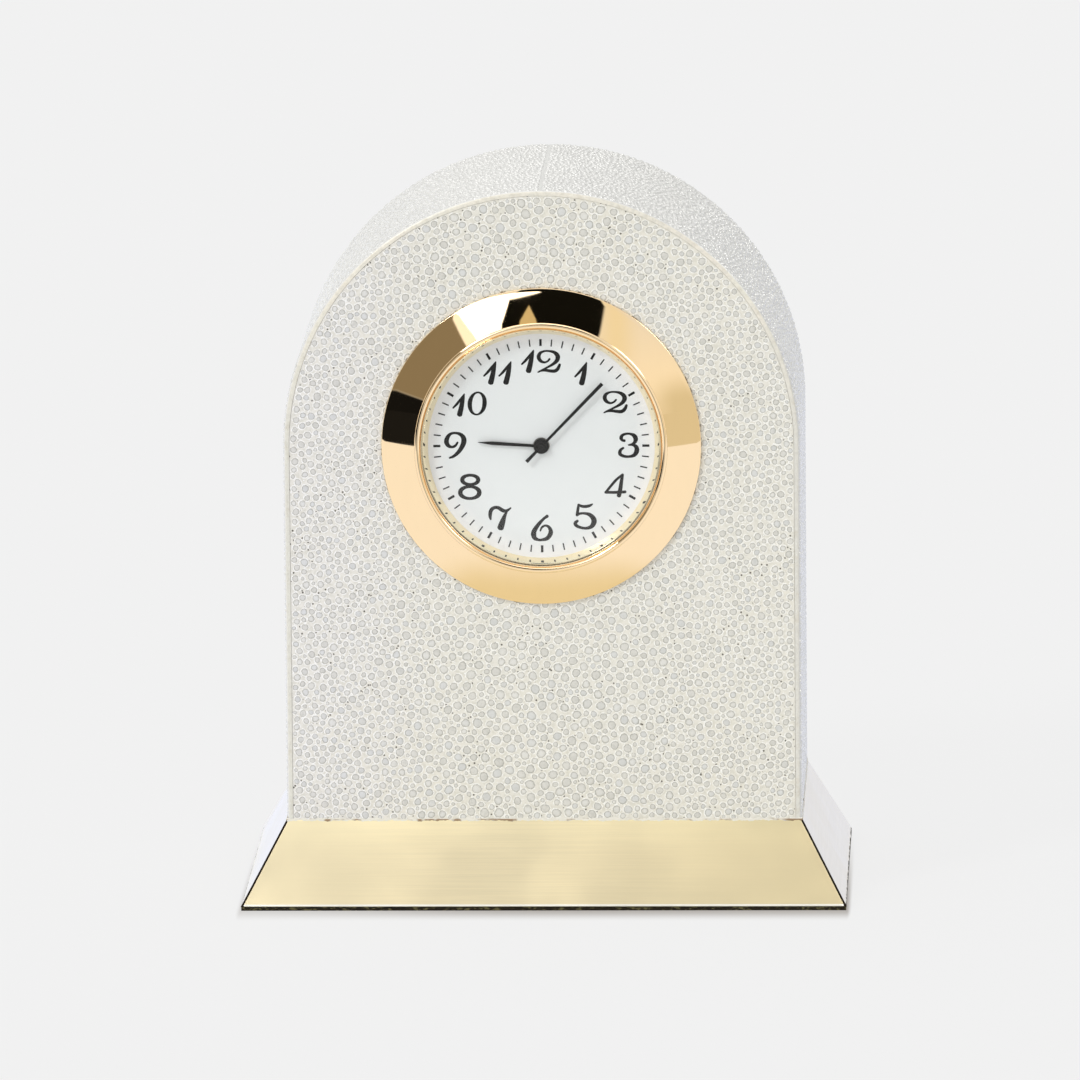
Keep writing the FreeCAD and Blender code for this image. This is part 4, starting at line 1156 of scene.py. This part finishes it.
class CLOCK_OT_glue(ClockPiece, bpy.types.Operator):
    """Dark glue in the mitres of the base and a ragged bead of resin along the skin's foot"""

    bl_idname = "clock.glue"
    bl_label = "Glue lines"

    def build(self, scene):
        self.mitres()
        resin = foot_resin()
        corners = np.array([[-1, -1], [1, -1], [1, 1], [-1, 1]]) * [half_case, back]
        parts = [self.bead(corners[side], corners[(side + 1) % 4], side) for side in range(4)]
        new_piece("foot_resin", gathered(parts), "case", resin)
        new_piece("bore_edge", self.bore_edge(), "case", cut_edge())

    def mitres(self):
        """Thin blades on the upright planes through the base's corners, |x| - |y| constant."""
        parts, half_thick, deep = [], 0.123, 0.9
        for rear, near in ((-1, 0.06), (1, 0.4)):
            for right in (-1, 1):
                inward = np.array([-right, -rear]) / math.sqrt(2)
                aside = np.array([right, -rear]) / math.sqrt(2) * half_thick
                points = []
                for spread, z in ((splay, plate_foot), (0, foot)):
                    corner = np.array([right * (half_case + spread), rear * (back + spread)])
                    for depth, turn in ((near, 1), (near, -1), (deep, -1), (deep, 1)):
                        points.append([*(corner + inward * depth + aside * turn), z])
                parts.append((np.array(points), capped(2)))
        new_piece("mitre_glue", gathered(parts), "case",
                  moulded("mitre_glue", levels(*GLUE), 0.5, 0.3, 0.01,
                          Specular_IOR_Level=0.08))

    def bore_edge(self):
        """Frayed edge of the skin round the bezel: a ring whose width and height over the
        skin wave with sines of whole counts round it."""
        turn = np.linspace(0, FULL_TURN, 720, endpoint=False)
        counts = np.array([23, 57, 101, 163])[:, None]
        tall, wide = wavering(counts * turn, (0.25, 0.3, 0.35, 0.3), 0.05, 31)
        tall, wide = 0.07 * tall, 0.11 * wide
        rim = bezel_high[0]
        still = np.zeros_like(turn)
        section = [(still - 0.03, tall), (0.6 * wide, tall * 0.6), (wide, still - 0.01),
                   (still - 0.03, still - 0.03)]
        rows = [np.stack([(rim + a) * np.cos(turn), front - b,
                          dial_height + (rim + a) * np.sin(turn)], -1) for a, b in section]
        return np.stack(rows, 1).reshape(-1, 3), grid(len(turn), 4, True, True), no_faces(3)

    def bead(self, start, end, seed):
        """A bead between the skin and a plate. Its height over the foot is 0.2 mm and its
        depth 0.1 mm, each times 1 plus waves of four lengths along it."""
        run = np.linalg.norm(end - start)
        along = np.linspace(0, run, int(run / 0.2))
        ahead = (end - start) / run
        out = np.array([ahead[1], -ahead[0]])
        turns = FULL_TURN * along / np.array([7.3, 2.9, 1.3, 0.62])[:, None]
        tall, deep = wavering(turns, (0.25, 0.3, 0.25, 0.2), 0.1, 20 + seed)
        tall, deep = 0.2 * tall, 0.1 * deep
        slope = (foot - plate_foot) / splay
        buried = np.full_like(deep, -0.04)
        section = [(buried, tall), (0.6 * deep, tall * 0.5), (deep, -slope * deep * 1.05),
                   (buried, 3 * buried)]
        rows = [np.column_stack([start + ahead * along[:, None] + out * a[:, None], foot + b])
                for a, b in section]
        return np.stack(rows, 1).reshape(-1, 3), capped(len(along))


def dress(node, material):
    """Gives a CAD node that stays as it is its material."""
    mesh = frame["nodes"][node].data
    mesh.materials.clear()
    mesh.materials.append(material)


class CLOCK_OT_bezel(ClockPiece, bpy.types.Operator):
    """Polished conical bezel with a bead round the glass"""

    bl_idname = "clock.bezel"
    bl_label = "Bezel"

    def build(self, scene):
        look = scene.clock_metal
        bezel, crest, sleeve_end = bezel_high[0], bezel_low[1], bezel_high[1]
        lip, bead = lens_high[0] - 0.6, 1.1
        glass = lens_low[1]
        skirt, sleeve = lens_high[0] + 0.05, lens_high[0] + 1.25
        low, high = np.array([bezel, front - 0.6]), np.array([lip + 0.8, crest + 0.2])
        cone = np.linspace(0, (bezel - lip - bead) / (bezel - high[0]), 9)[1:, None]
        crown = low + (high - low) * cone - [0.0, 0.2] * cone * (1 - cone)
        swing = np.linspace(0, math.pi, 13)
        bulge = np.stack([lip + bead - 0.42 + 0.42 * np.cos(swing),
                          crest + 0.3 - 0.27 * np.sin(swing)], -1)
        outline = rounded([
            (bezel, front, 0.08), (*low, 0.12), *((r, y, 0) for r, y in crown),
            *((r, y, 0) for r, y in bulge), (lip + 0.2, crest + 0.36, 0),
            (lip + 0.12, crest + 0.16, 0.03), (lip, crest + 0.16, 0.03), (lip, glass, 0),
            (skirt, glass, 0), (skirt, sleeve_end, 0.1), (sleeve, sleeve_end, 0.1),
            (sleeve, front, 0)], steps=8)
        gold = polished_gold("polished_gold", look.gold, look.gold_roughness * 0.6,
                             look.gold_roughness * 1.3)
        piece = new_piece("gold_bezel", turned(outline, 288), "insert", gold,
                          smooth_below=math.radians(24))
        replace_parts(piece, "bezel")


class CLOCK_OT_glass(ClockPiece, bpy.types.Operator):
    """Glass with a ground edge, and the gold ring between it and the dial"""

    bl_idname = "clock.glass"
    bl_label = "Glass and ring"

    def build(self, scene):
        rim, near, far = lens_high[0], lens_low[1], lens_high[1]
        outline = [(0, near), (rim - 0.15, near), (rim, near + 0.15), (rim, far), (0, far)]
        piece = new_piece("glass", turned(outline, 192, closed=False), "insert",
                          clear_glass(), smooth_below=math.radians(20))
        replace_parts(piece, "lens")
        near, far = ring_low[1], ring_high[1]
        near += 0.02
        outline = rounded([(rim, near, 0), (rim, far, 0), (rim - 1.58, far, 0.04),
                           (rim - 0.82, near, 0.1)], steps=5)
        gold = polished_gold("ring_gold", levels(255, 241, 204), 0.03, 0.08)
        piece = new_piece("gold_ring", turned(outline, 240), "insert", gold)
        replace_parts(piece, "dial_ring")


def loop(middle_x, middle_y, half_x, half_y, side, end, lean=0.0):
    """A closed pen stroke round an ellipse, wide at its sides and fine at its ends."""
    turn = np.linspace(0, FULL_TURN, 17)
    y = middle_y + half_y * np.sin(turn)
    x = middle_x + half_x * np.cos(turn) + lean * (y - middle_y)
    return np.stack([x, y, end + (side - end) * np.cos(turn) ** 2], -1).tolist()


# Strokes of the numerals, in hundredths of their height: (across, up, width of the pen)
STROKES = {
    "0": [loop(40, 50, 32, 45, 15, 6, 0.08)],
    "1": [[(3, 35, 6), (20, 53, 9), (38, 76, 8), (52, 96, 4)],
          [(52, 96, 5), (45, 70, 14), (39, 38, 17), (31, 6, 19)]],
    "2": [[(54, 61, 7), (45, 51, 7), (30, 46, 8), (14, 54, 12), (7, 70, 14), (13, 86, 11),
           (30, 95, 7), (50, 96, 7), (72, 91, 11), (86, 79, 15), (89, 65, 16), (81, 49, 13),
           (62, 34, 9), (38, 21, 7), (16, 9, 7), (4, 3, 5)],
          [(4, 3, 5), (20, 10, 8), (38, 11, 10), (58, 8, 11), (76, 8, 12), (89, 18, 12),
           (97, 36, 9)]],
    "3": [[(25, 68, 9), (15, 71, 9), (11, 80, 12), (16, 90, 10), (30, 96, 8), (48, 96, 8),
           (65, 88, 14), (71, 74, 15), (66, 61, 11), (55, 54, 7), (41, 51, 5)],
          [(41, 51, 5), (60, 51, 9), (73, 42, 14), (75, 27, 16), (66, 11, 13), (48, 4, 9),
           (27, 4, 9), (9, 11, 11), (5, 20, 12), (9, 31, 10), (20, 39, 7)]],
    "4": [[(78, 96, 7), (52, 75, 9), (27, 47, 9), (5, 20, 8)],
          [(4, 20, 9), (45, 20, 10), (88, 22, 10)],
          [(77, 95, 9), (72, 66, 12), (67, 34, 14), (61, 6, 15)]],
    "5": [[(19, 94, 8), (32, 89, 9), (48, 88, 10), (63, 91, 9), (75, 97, 5)],
          [(19, 95, 8), (16, 78, 9), (12, 54, 9)],
          [(12, 54, 8), (24, 60, 8), (42, 61, 8), (63, 56, 12), (78, 42, 16), (81, 27, 17),
           (71, 10, 13), (50, 3, 9), (25, 6, 9), (7, 15, 11), (5, 24, 11), (14, 32, 8)]],
    "6": [[(64, 96, 10), (48, 85, 9), (27, 64, 12), (10, 41, 15), (6, 26, 17), (11, 11, 14),
           (26, 4, 9), (42, 4, 9), (63, 10, 13), (76, 27, 15), (77, 41, 13), (68, 55, 9),
           (54, 59, 7), (41, 52, 7), (34, 39, 5)]],
    "7": [[(6, 44, 6), (4, 58, 11), (6, 77, 13), (14, 90, 12), (27, 95, 11), (40, 93, 12),
           (52, 85, 13), (64, 80, 12), (77, 83, 9), (90, 93, 5)],
          [(76, 82, 5), (64, 58, 12), (55, 32, 19), (47, 8, 22)]],
    "8": [loop(46, 77, 31, 18, 13, 9), loop(44, 28, 37, 23, 14, 9)],
    "9": [[(49, 61, 6), (40, 49, 8), (26, 44, 8), (12, 50, 12), (5, 65, 15), (12, 84, 12),
           (26, 95, 8), (46, 96, 8), (64, 89, 12), (74, 73, 16), (70, 52, 15), (54, 27, 12),
           (34, 10, 9), (17, 3, 6)]],
}

# Numerals on the dial: figure, left edge, foot, width and height, from the dial's axis
FIGURES = (
    ("1", -3.07, 11.52, 2.05, 3.68), ("2", -0.56, 11.58, 3.70, 3.56),
    ("1", 5.24, 9.55, 2.02, 3.68), ("2", 9.7, 5.15, 3.84, 3.48),
    ("3", 12.04, -1.92, 3.2, 3.96), ("4", 9.82, -8.21, 3.44, 3.78),
    ("5", 4.99, -13.27, 3.5, 4.1), ("6", -1.64, -15.12, 3.28, 4.17),
    ("7", -8.33, -13.39, 3.56, 3.83), ("8", -13.03, -8.52, 3.56, 4.07),
    ("9", -15.14, -2.02, 3.36, 4.24), ("1", -13.85, 4.65, 1.95, 3.66),
    ("0", -11.4, 4.86, 2.86, 3.74), ("1", -8.99, 9.69, 2.05, 3.7),
    ("1", -6.61, 9.69, 2.05, 3.7),
)


def pen_stroke(nodes, steps=7):
    """Centre line and width of a stroke through its nodes, with half round ends.

    Between nodes b and c, with a before and d after them, the line is the cubic
    (2b + (c - a) t + (2a - 5b + 4c - d) t2 + (3b - a - 3c + d) t3) / 2."""
    nodes = np.asarray(nodes, float)
    padded = np.vstack([2 * nodes[0] - nodes[1], nodes, 2 * nodes[-1] - nodes[-2]])
    a, b, c, d = padded[:-3, None], padded[1:-2, None], padded[2:-1, None], padded[3:, None]
    t = np.linspace(0, 1, steps, endpoint=False)[None, :, None]
    line = (2 * b + (c - a) * t + (2 * a - 5 * b + 4 * c - d) * t ** 2
            + (3 * b - a - 3 * c + d) * t ** 3) / 2
    line = np.vstack([line.reshape(-1, 3), nodes[-1]])
    heading = np.gradient(line[:, :2], axis=0)
    heading /= np.linalg.norm(heading, axis=1, keepdims=True)
    bend = np.radians([80, 60, 40, 20])[:, None]
    half = line[:, 2:] / 2
    start = np.hstack([line[0, :2] - heading[0] * half[0] * np.sin(bend),
                       line[0, 2] * np.cos(bend)])
    end = np.hstack([line[-1, :2] + heading[-1] * half[-1] * np.sin(bend[::-1]),
                     line[-1, 2] * np.cos(bend[::-1])])
    line = np.vstack([start, line, end])
    heading = np.vstack([np.repeat(heading[:1], 4, 0), heading, np.repeat(heading[-1:], 4, 0)])
    return line[:, :2], heading, line[:, 2:] / 2


def inked(middle, heading, half, layer):
    """A stroke laid on the dial as a thin closed strip, a little higher for later layers."""
    aside = np.stack([-heading[:, 1], heading[:, 0]], -1) * half
    left, right = middle + aside, middle - aside
    low, high = dial_low[1] + 0.004, dial_low[1] - 0.02 - 0.002 * layer
    rows = [np.column_stack([edge[:, 0], np.full(len(edge), y), dial_height + edge[:, 1]])
            for edge, y in ((left, low), (left, high), (right, high), (right, low))]
    return np.stack(rows, 1).reshape(-1, 3), capped(len(middle))


def gathered(parts):
    """Several (points, quads) as one surface, with each part turned face out."""
    points, quads, count = [], [], 0
    for place, faces in parts:
        if volume(place, faces, no_faces(3)) < 0:
            faces = faces[:, ::-1]
        points.append(place)
        quads.append(faces + count)
        count += len(place)
    return np.concatenate(points), np.concatenate(quads), no_faces(3)


class CLOCK_OT_dial(ClockPiece, bpy.types.Operator):
    """Lacquered dial with its sixty marks and twelve printed numerals"""

    bl_idname = "clock.dial"
    bl_label = "Dial"

    def build(self, scene):
        look = scene.clock_dial
        dress("dial", dial_enamel())
        dress("dial_washer", plain_metal("washer_steel", levels(190, 190, 194), 0.3))
        ink = printed_ink()
        parts = []
        for figure, left, low, width, height in FIGURES:
            strokes = [pen_stroke(nodes) for nodes in STROKES[figure]]
            edges = np.vstack([middle + s * np.stack([-h[:, 1], h[:, 0]], -1) * half
                               for middle, h, half in strokes for s in (-1, 1)])
            origin, size = edges.min(0), np.ptp(edges, axis=0)
            scale = np.array([width, height]) / size
            for layer, (middle, heading, half) in enumerate(strokes):
                spot = (middle - origin) * scale + [left, low]
                parts.append(inked(spot, heading, half * scale.mean() * 1.24, layer))
        new_piece("dial_numerals", gathered(parts), "insert", ink,
                  smooth_below=math.radians(35))
        parts = []
        for minute in range(60):
            turn = minute * FULL_TURN / 60
            out = np.array([[math.sin(turn), math.cos(turn)]])
            ends = np.array([[look.mark_inner], [look.mark_outer]]) / MM * out
            width = (look.mark_fine if minute % 5 else look.mark_bold) / MM
            parts.append(inked(ends, np.repeat(out, 2, 0), np.full((2, 1), width / 2), 0))
        new_piece("dial_marks", gathered(parts), "insert", ink)


class CLOCK_OT_hands(ClockPiece, bpy.types.Operator):
    """Hour and minute hands in black lacquer with softened edges"""

    bl_idname = "clock.hands"
    bl_label = "Hands"

    def build(self, scene):
        lacquer = hand_lacquer()
        for hand in ("hour_hand", "minute_hand"):
            piece = bevelled_copy(hand, f"{hand}_lacquered", lacquer, 0.02, 2)
            film = piece.modifiers.new("Lacquer", "DISPLACE")
            film.strength = 0.03 * MM
            film.mid_level = 0


class CLOCK_OT_movement(ClockPiece, bpy.types.Operator):
    """Cup, plates, wheels, motor, circuit, cell and covers of the insert"""

    bl_idname = "clock.movement"
    bl_label = "Movement"

    def build(self, scene):
        black = moulded("cup_plastic", levels(46, 46, 48), 0.5, 0.3, 0.012)
        white = moulded("plate_plastic", levels(226, 226, 222), 0.42)
        acetal = moulded("gear_plastic", levels(240, 236, 224), 0.36, 0.2, 0.003)
        brass = plain_metal("turned_brass", levels(226, 190, 118), 0.24)
        iron = plain_metal("soft_iron", levels(150, 152, 156), 0.4)
        nickel = plain_metal("nickel_steel", levels(206, 208, 210), 0.26)
        finishes = {
            "insert_cup": black,
            "battery_cover": moulded("cover_plastic", levels(56, 56, 58), 0.46, 0.3, 0.012),
            "setting_knob": moulded("knob_plastic", levels(60, 60, 62), 0.4, 0.3, 0.01),
            "grip_ring": moulded("grip_rubber", levels(38, 38, 38), 0.7, 0.16, 0.02),
            "main_plate": white, "train_bridge": white,
            "minute_wheel": acetal, "third_wheel": acetal, "middle_wheel": acetal,
            "rotor": acetal, "setting_stem": acetal,
            "hour_wheel": blacked_end("pipe_acetal", levels(212, 208, 196),
                                      levels(240, 236, 224), 0.0),
            "centre_wheel": blacked_end("arbor_brass", levels(198, 160, 92),
                                        levels(228, 194, 124), 1.0),
            "cannon_pinion": moulded("black_oxide", levels(16, 15, 14), 0.42, 0.2, 0.003,
                                     Specular_IOR_Level=0.15),
            "cap_contact": brass, "can_contact": brass, "movement_screws": nickel,
            "battery_cell": nickel, "quartz_crystal": nickel, "stator": iron, "coil_core": iron,
            "rotor_magnet": plain_metal("ferrite", levels(70, 70, 74), 0.5),
            "coil_winding": copper_coil(), "circuit_board": board_resin(),
            "circuit_chip": moulded("chip_resin", levels(26, 26, 28), 0.28, 0.2, 0.004,
                                    Coat_Weight=0.4),
        }
        for node, material in finishes.items():
            dress(node, material)


def room_in_metal(g, direction):
    """What polished metal shows of the studio, by compass bearing from the front and by height
    over the horizon, both in degrees: pale walls, a window and dark flats beside it. The first
    two numbers of a patch are its bearings, the next two its heights."""
    x, y, z = g.split(direction)
    degrees = 180 / math.pi
    bearing = g.times(g.math("ARCTAN2", x, g.times(y, -1.0)), degrees)
    height = g.times(g.math("ARCSINE", z), degrees)

    def patch(left, right, low, high, soft=0.7):
        sides = g.times(g.step(bearing, left - soft, left + soft),
                        g.step(bearing, right + soft, right - soft))
        ends = g.times(g.step(height, low - soft, low + soft),
                       g.step(height, high + soft, high - soft))
        return g.times(sides, ends)

    def slant(lean, low, high):
        """From 0 at low to 1 at high of the bearing and a share of the height together."""
        return g.step(g.math("MULTIPLY_ADD", height, lean, bearing), low, high)

    brown_foot = g.math("MULTIPLY_ADD", bearing, -0.218, -4.57)
    over_foot = g.math("SUBTRACT", height, brown_foot)
    behind = g.step(g.math("ABSOLUTE", bearing), 90.0, 130.0)
    wall = g.mix(g.step(height, 5.0, 30.0), levels(254, 249, 236), levels(238, 238, 238))
    wall = g.mix(g.times(behind, g.step(height, 35.0, 10.0)), wall, levels(240, 241, 238))
    view = g.mix(patch(29, 60, -14, 6, 4.0), wall, levels(224, 216, 189))
    view = g.mix(patch(15, 22, 13, 40, 3.5), view, levels(244, 237, 212))
    flat = g.times(slant(-0.23, 10.1, 9.1), slant(-0.365, -21.7, -21.0), patch(-60, 60, 12, 40))
    view = g.mix(flat, view, (0.006, 0.006, 0.005))
    tip = g.math("SUBTRACT", 27.5, height)
    across = g.math("ABSOLUTE", g.math("ADD", bearing, 5.4))
    wedge = g.step(g.math("SUBTRACT", g.times(tip, 0.7), across), -0.2, 0.2)
    view = g.mix(g.times(wedge, g.step(height, 23.0, 23.5)), view, levels(214, 196, 150))
    window = g.times(slant(-0.365, -21.0, -21.7), slant(1.09, 0.6, 1.6),
                     patch(-32, 0, 12, 31.5))
    rim = g.times(slant(-4.545, -138.5, -141.7), patch(-16, -2.4, 26, 31.5))
    view = g.mix(g.math("MAXIMUM", window, rim), view, (3.5, 3.5, 3.5))
    strip = g.times(slant(1.09, 1.6, 0.6), slant(0.687, -11.0, -10.2), patch(-60, 60, 10, 40))
    view = g.mix(strip, view, (1.25, 1.2, 1.1))
    brown = g.times(slant(0.687, -10.2, -11.0), g.step(over_foot, -0.3, 0.5),
                    patch(-75, -15, -60, 40))
    view = g.mix(brown, view, levels(140, 129, 107))
    dark = g.times(patch(-75, -29.5, -20, 12), g.step(over_foot, 0.5, -0.3))
    view = g.mix(dark, view, (0.008, 0.008, 0.008))
    view = g.mix(patch(64, 98, 29, 48, 4.0), view, (6.5, 6.5, 6.4))
    return g.mix(g.step(height, 60.0, 72.0), view, (2.3, 2.3, 2.3))


class CLOCK_OT_stage(ClockPiece, bpy.types.Operator):
    """Pale floor, level studio light and the camera at the photograph's angle"""

    bl_idname = "clock.stage"
    bl_label = "Stage"

    def build(self, scene):
        look = scene.clock_stage
        self.build_world(scene, look)
        self.build_floor(look)
        lamp = bpy.data.lights.new("sun", "SUN")
        lamp.energy = look.sun
        lamp.angle = math.radians(14)
        sun = bpy.data.objects.new("sun", lamp)
        sun.rotation_mode = "QUATERNION"
        sun.rotation_quaternion = Vector((0.5, 0.62, -0.6)).to_track_quat("-Z", "Y")
        scene.collection.objects.link(sun)
        self.build_camera(scene)
        scene.view_settings.view_transform = "Standard"

    def build_world(self, scene, look):
        world = bpy.data.worlds.new("studio")
        world.use_nodes = True
        scene.world = world
        g = Graph(world.node_tree)
        world.node_tree.nodes.clear()
        direction = g.node("TexCoord").outputs["Generated"]
        path = g.node("LightPath").outputs
        shade = g.math("MULTIPLY_ADD", g.split(direction)[0], -0.33, look.sky)
        lit = g.node("CombineXYZ", {"X": shade, "Y": shade, "Z": shade}).outputs[0]
        view = g.mix(path["Is Glossy Ray"], lit, room_in_metal(g, direction))
        seen = g.math("MAXIMUM", path["Is Camera Ray"], path["Is Transmission Ray"])
        view = g.mix(seen, view, look.ground)
        sky = g.node("Background", {"Color": view, "Strength": 1.0})
        output = g.node("OutputWorld", {"Surface": sky.outputs[0]})
        output.is_active_output = True

    def build_floor(self, look):
        """A wide floor. To the camera and in metal it mostly shows its own pale colour, so that
        it meets the background, and the rest takes the light and the clock's shadow. Metal sees
        it as a table that ends in front, where the room's dark and pale parts begin."""
        mesh = bpy.data.meshes.new("floor")
        size, low = 4.0, -0.00002
        mesh.from_pydata([(-size, -size, low), (size, -size, low), (size, size, low),
                          (-size, size, low)], [], [(0, 1, 2, 3)])
        floor = bpy.data.objects.new("floor", mesh)
        bpy.context.scene.collection.objects.link(floor)
        f = Finish("floor", Roughness=0.9, Specular_IOR_Level=0.0,
                   Base_Color=darker(look.ground, 1.088))
        path = f.node("LightPath").outputs
        f.relief(f.noise(f.place, 1.2, 3.0), 0.01)
        x, y = f.split(f.place)[:2]
        bearing = f.math("DIVIDE", x, f.math("ABSOLUTE", y))
        far = f.step(y, -look.table_front - 0.002, -look.table_front + 0.002)
        left = f.step(bearing, -0.42, -0.34)
        beyond = f.mix(left, (0.008, 0.008, 0.008), (1.0, 0.98, 0.95))
        beyond = f.mix(f.step(bearing, 0.4, 0.5), beyond, levels(224, 216, 189))
        table = f.mix(far, beyond, (1.0, 0.99, 0.97))
        ahead = f.times(f.step(y, -0.34, -0.5), f.step(f.math("ABSOLUTE", bearing), 0.3, 0.2))
        table = f.mix(ahead, table, (0.3, 0.3, 0.29))
        aside = f.math("ABSOLUTE", x)
        close = f.times(f.step(y, -0.1, -0.07), f.step(aside, 0.06, 0.03))
        table = f.mix(close, table, levels(236, 228, 197))
        table = f.mix(f.step(y, -0.044, -0.04), table, levels(255, 253, 238))
        beside = f.mix(f.step(x, -0.01, 0.01), (0.9, 0.94, 1.08), (0.85, 0.88, 1.0))
        sides = f.times(f.step(aside, 0.046, 0.05), f.step(y, -0.06, -0.03))
        table = f.mix(f.math("MAXIMUM", sides, f.step(y, 0.0, 0.05)), table, beside)
        # To the camera the floor shows its colour with a painted shadow by the base's foot.
        shown = f.mix(path["Is Glossy Ray"], self.painted_foot_shadow(f, look), table)
        glow = f.node("Emission", {"Color": shown, "Strength": 1.0})
        known = f.math("MAXIMUM", path["Is Camera Ray"], path["Is Transmission Ray"])
        known = f.times(known, 0.91)
        known = f.math("MAXIMUM", known, f.times(path["Is Glossy Ray"], 0.995))
        f.shader_or(known, glow)
        mesh.materials.append(f.material)

    def painted_foot_shadow(self, f, look):
        """The floor's colour with a painted shadow by the foot of the base: over 9 mm in front
        of it, fading to the left, and over 0.9 mm beside it, fading to the rear."""
        x, y = f.split(f.place)[:2]

        def past(value, edge, reach_out):
            beyond = f.math("SUBTRACT", f.math("ABSOLUTE", value), edge * MM)
            return f.math("MAXIMUM", f.math("DIVIDE", beyond, reach_out * MM), 0.0)

        beside = past(x, half_case + splay, 0.9)
        before = past(y, -plate_front, 9.0)
        away = f.math("SQRT", f.math("ADD", f.times(beside, beside), f.times(before, before)))
        near = f.math("POWER", f.step(away, 1.0, 0.0), 1.2)
        strength = f.blend(f.step(x, -0.047, 0.0), 0.3, 0.6)
        strength = f.times(strength, f.step(y, 0.03, -0.03))
        return f.mix(f.times(near, strength), look.ground, levels(112, 96, 76))

    def build_camera(self, scene):
        """The camera stands right of the clock and above it, 2.2 m away, with a long lens."""
        yaw, pitch, roll = 0.036497, 0.173522, -0.008275
        ahead = Vector((-math.sin(yaw) * math.cos(pitch), math.cos(yaw) * math.cos(pitch),
                        -math.sin(pitch)))
        level = Vector((math.cos(yaw), math.sin(yaw), 0))
        upright = level.cross(ahead)
        right = math.cos(roll) * level + math.sin(roll) * upright
        above = -math.sin(roll) * level + math.cos(roll) * upright
        lens = bpy.data.cameras.new("camera")
        lens.lens, lens.sensor_width = 470.6, 36
        lens.clip_start, lens.clip_end = 0.1, 20
        camera = bpy.data.objects.new("camera", lens)
        scene.collection.objects.link(camera)
        turn = Matrix((right, above, -ahead)).transposed().to_4x4()
        camera.matrix_world = Matrix.Translation((0.07909, -2.2, 0.43924)) @ turn
        scene.camera = camera


STEPS = (
    CLOCK_OT_stage, CLOCK_OT_skin_panels, CLOCK_OT_skin_wrap, CLOCK_OT_stones, CLOCK_OT_domes,
    CLOCK_OT_base, CLOCK_OT_glue, CLOCK_OT_bezel, CLOCK_OT_glass, CLOCK_OT_dial, CLOCK_OT_hands,
    CLOCK_OT_movement,
)
SETTINGS = {"clock_skin": ClockSkin, "clock_metal": ClockMetal, "clock_dial": ClockDial,
            "clock_stage": ClockStage}


class CLOCK_PT_pieces(bpy.types.Panel):
    """Settings of the clock and the operators that build it"""

    bl_label = "Beehive clock"
    bl_idname = "CLOCK_PT_pieces"
    bl_space_type = "VIEW_3D"
    bl_region_type = "UI"
    bl_category = "Clock"

    def draw(self, context):
        for name, group in SETTINGS.items():
            box = self.layout.box()
            box.label(text=group.__doc__)
            for prop in group.__annotations__:
                box.prop(getattr(context.scene, name), prop)
        for step in STEPS:
            self.layout.operator(step.bl_idname)


def register():
    for made in (*SETTINGS.values(), *STEPS, CLOCK_PT_pieces):
        bpy.utils.register_class(made)
    for name, group in SETTINGS.items():
        setattr(bpy.types.Scene, name, bpy.props.PointerProperty(type=group))


def unregister():
    for name in SETTINGS:
        delattr(bpy.types.Scene, name)
    for made in (CLOCK_PT_pieces, *reversed(STEPS), *SETTINGS.values()):
        bpy.utils.unregister_class(made)


def main():
    register()
    build_effects()
    for step in STEPS:
        getattr(bpy.ops.clock, step.bl_idname.split(".")[1])()


if __name__ == "__main__":
    main()
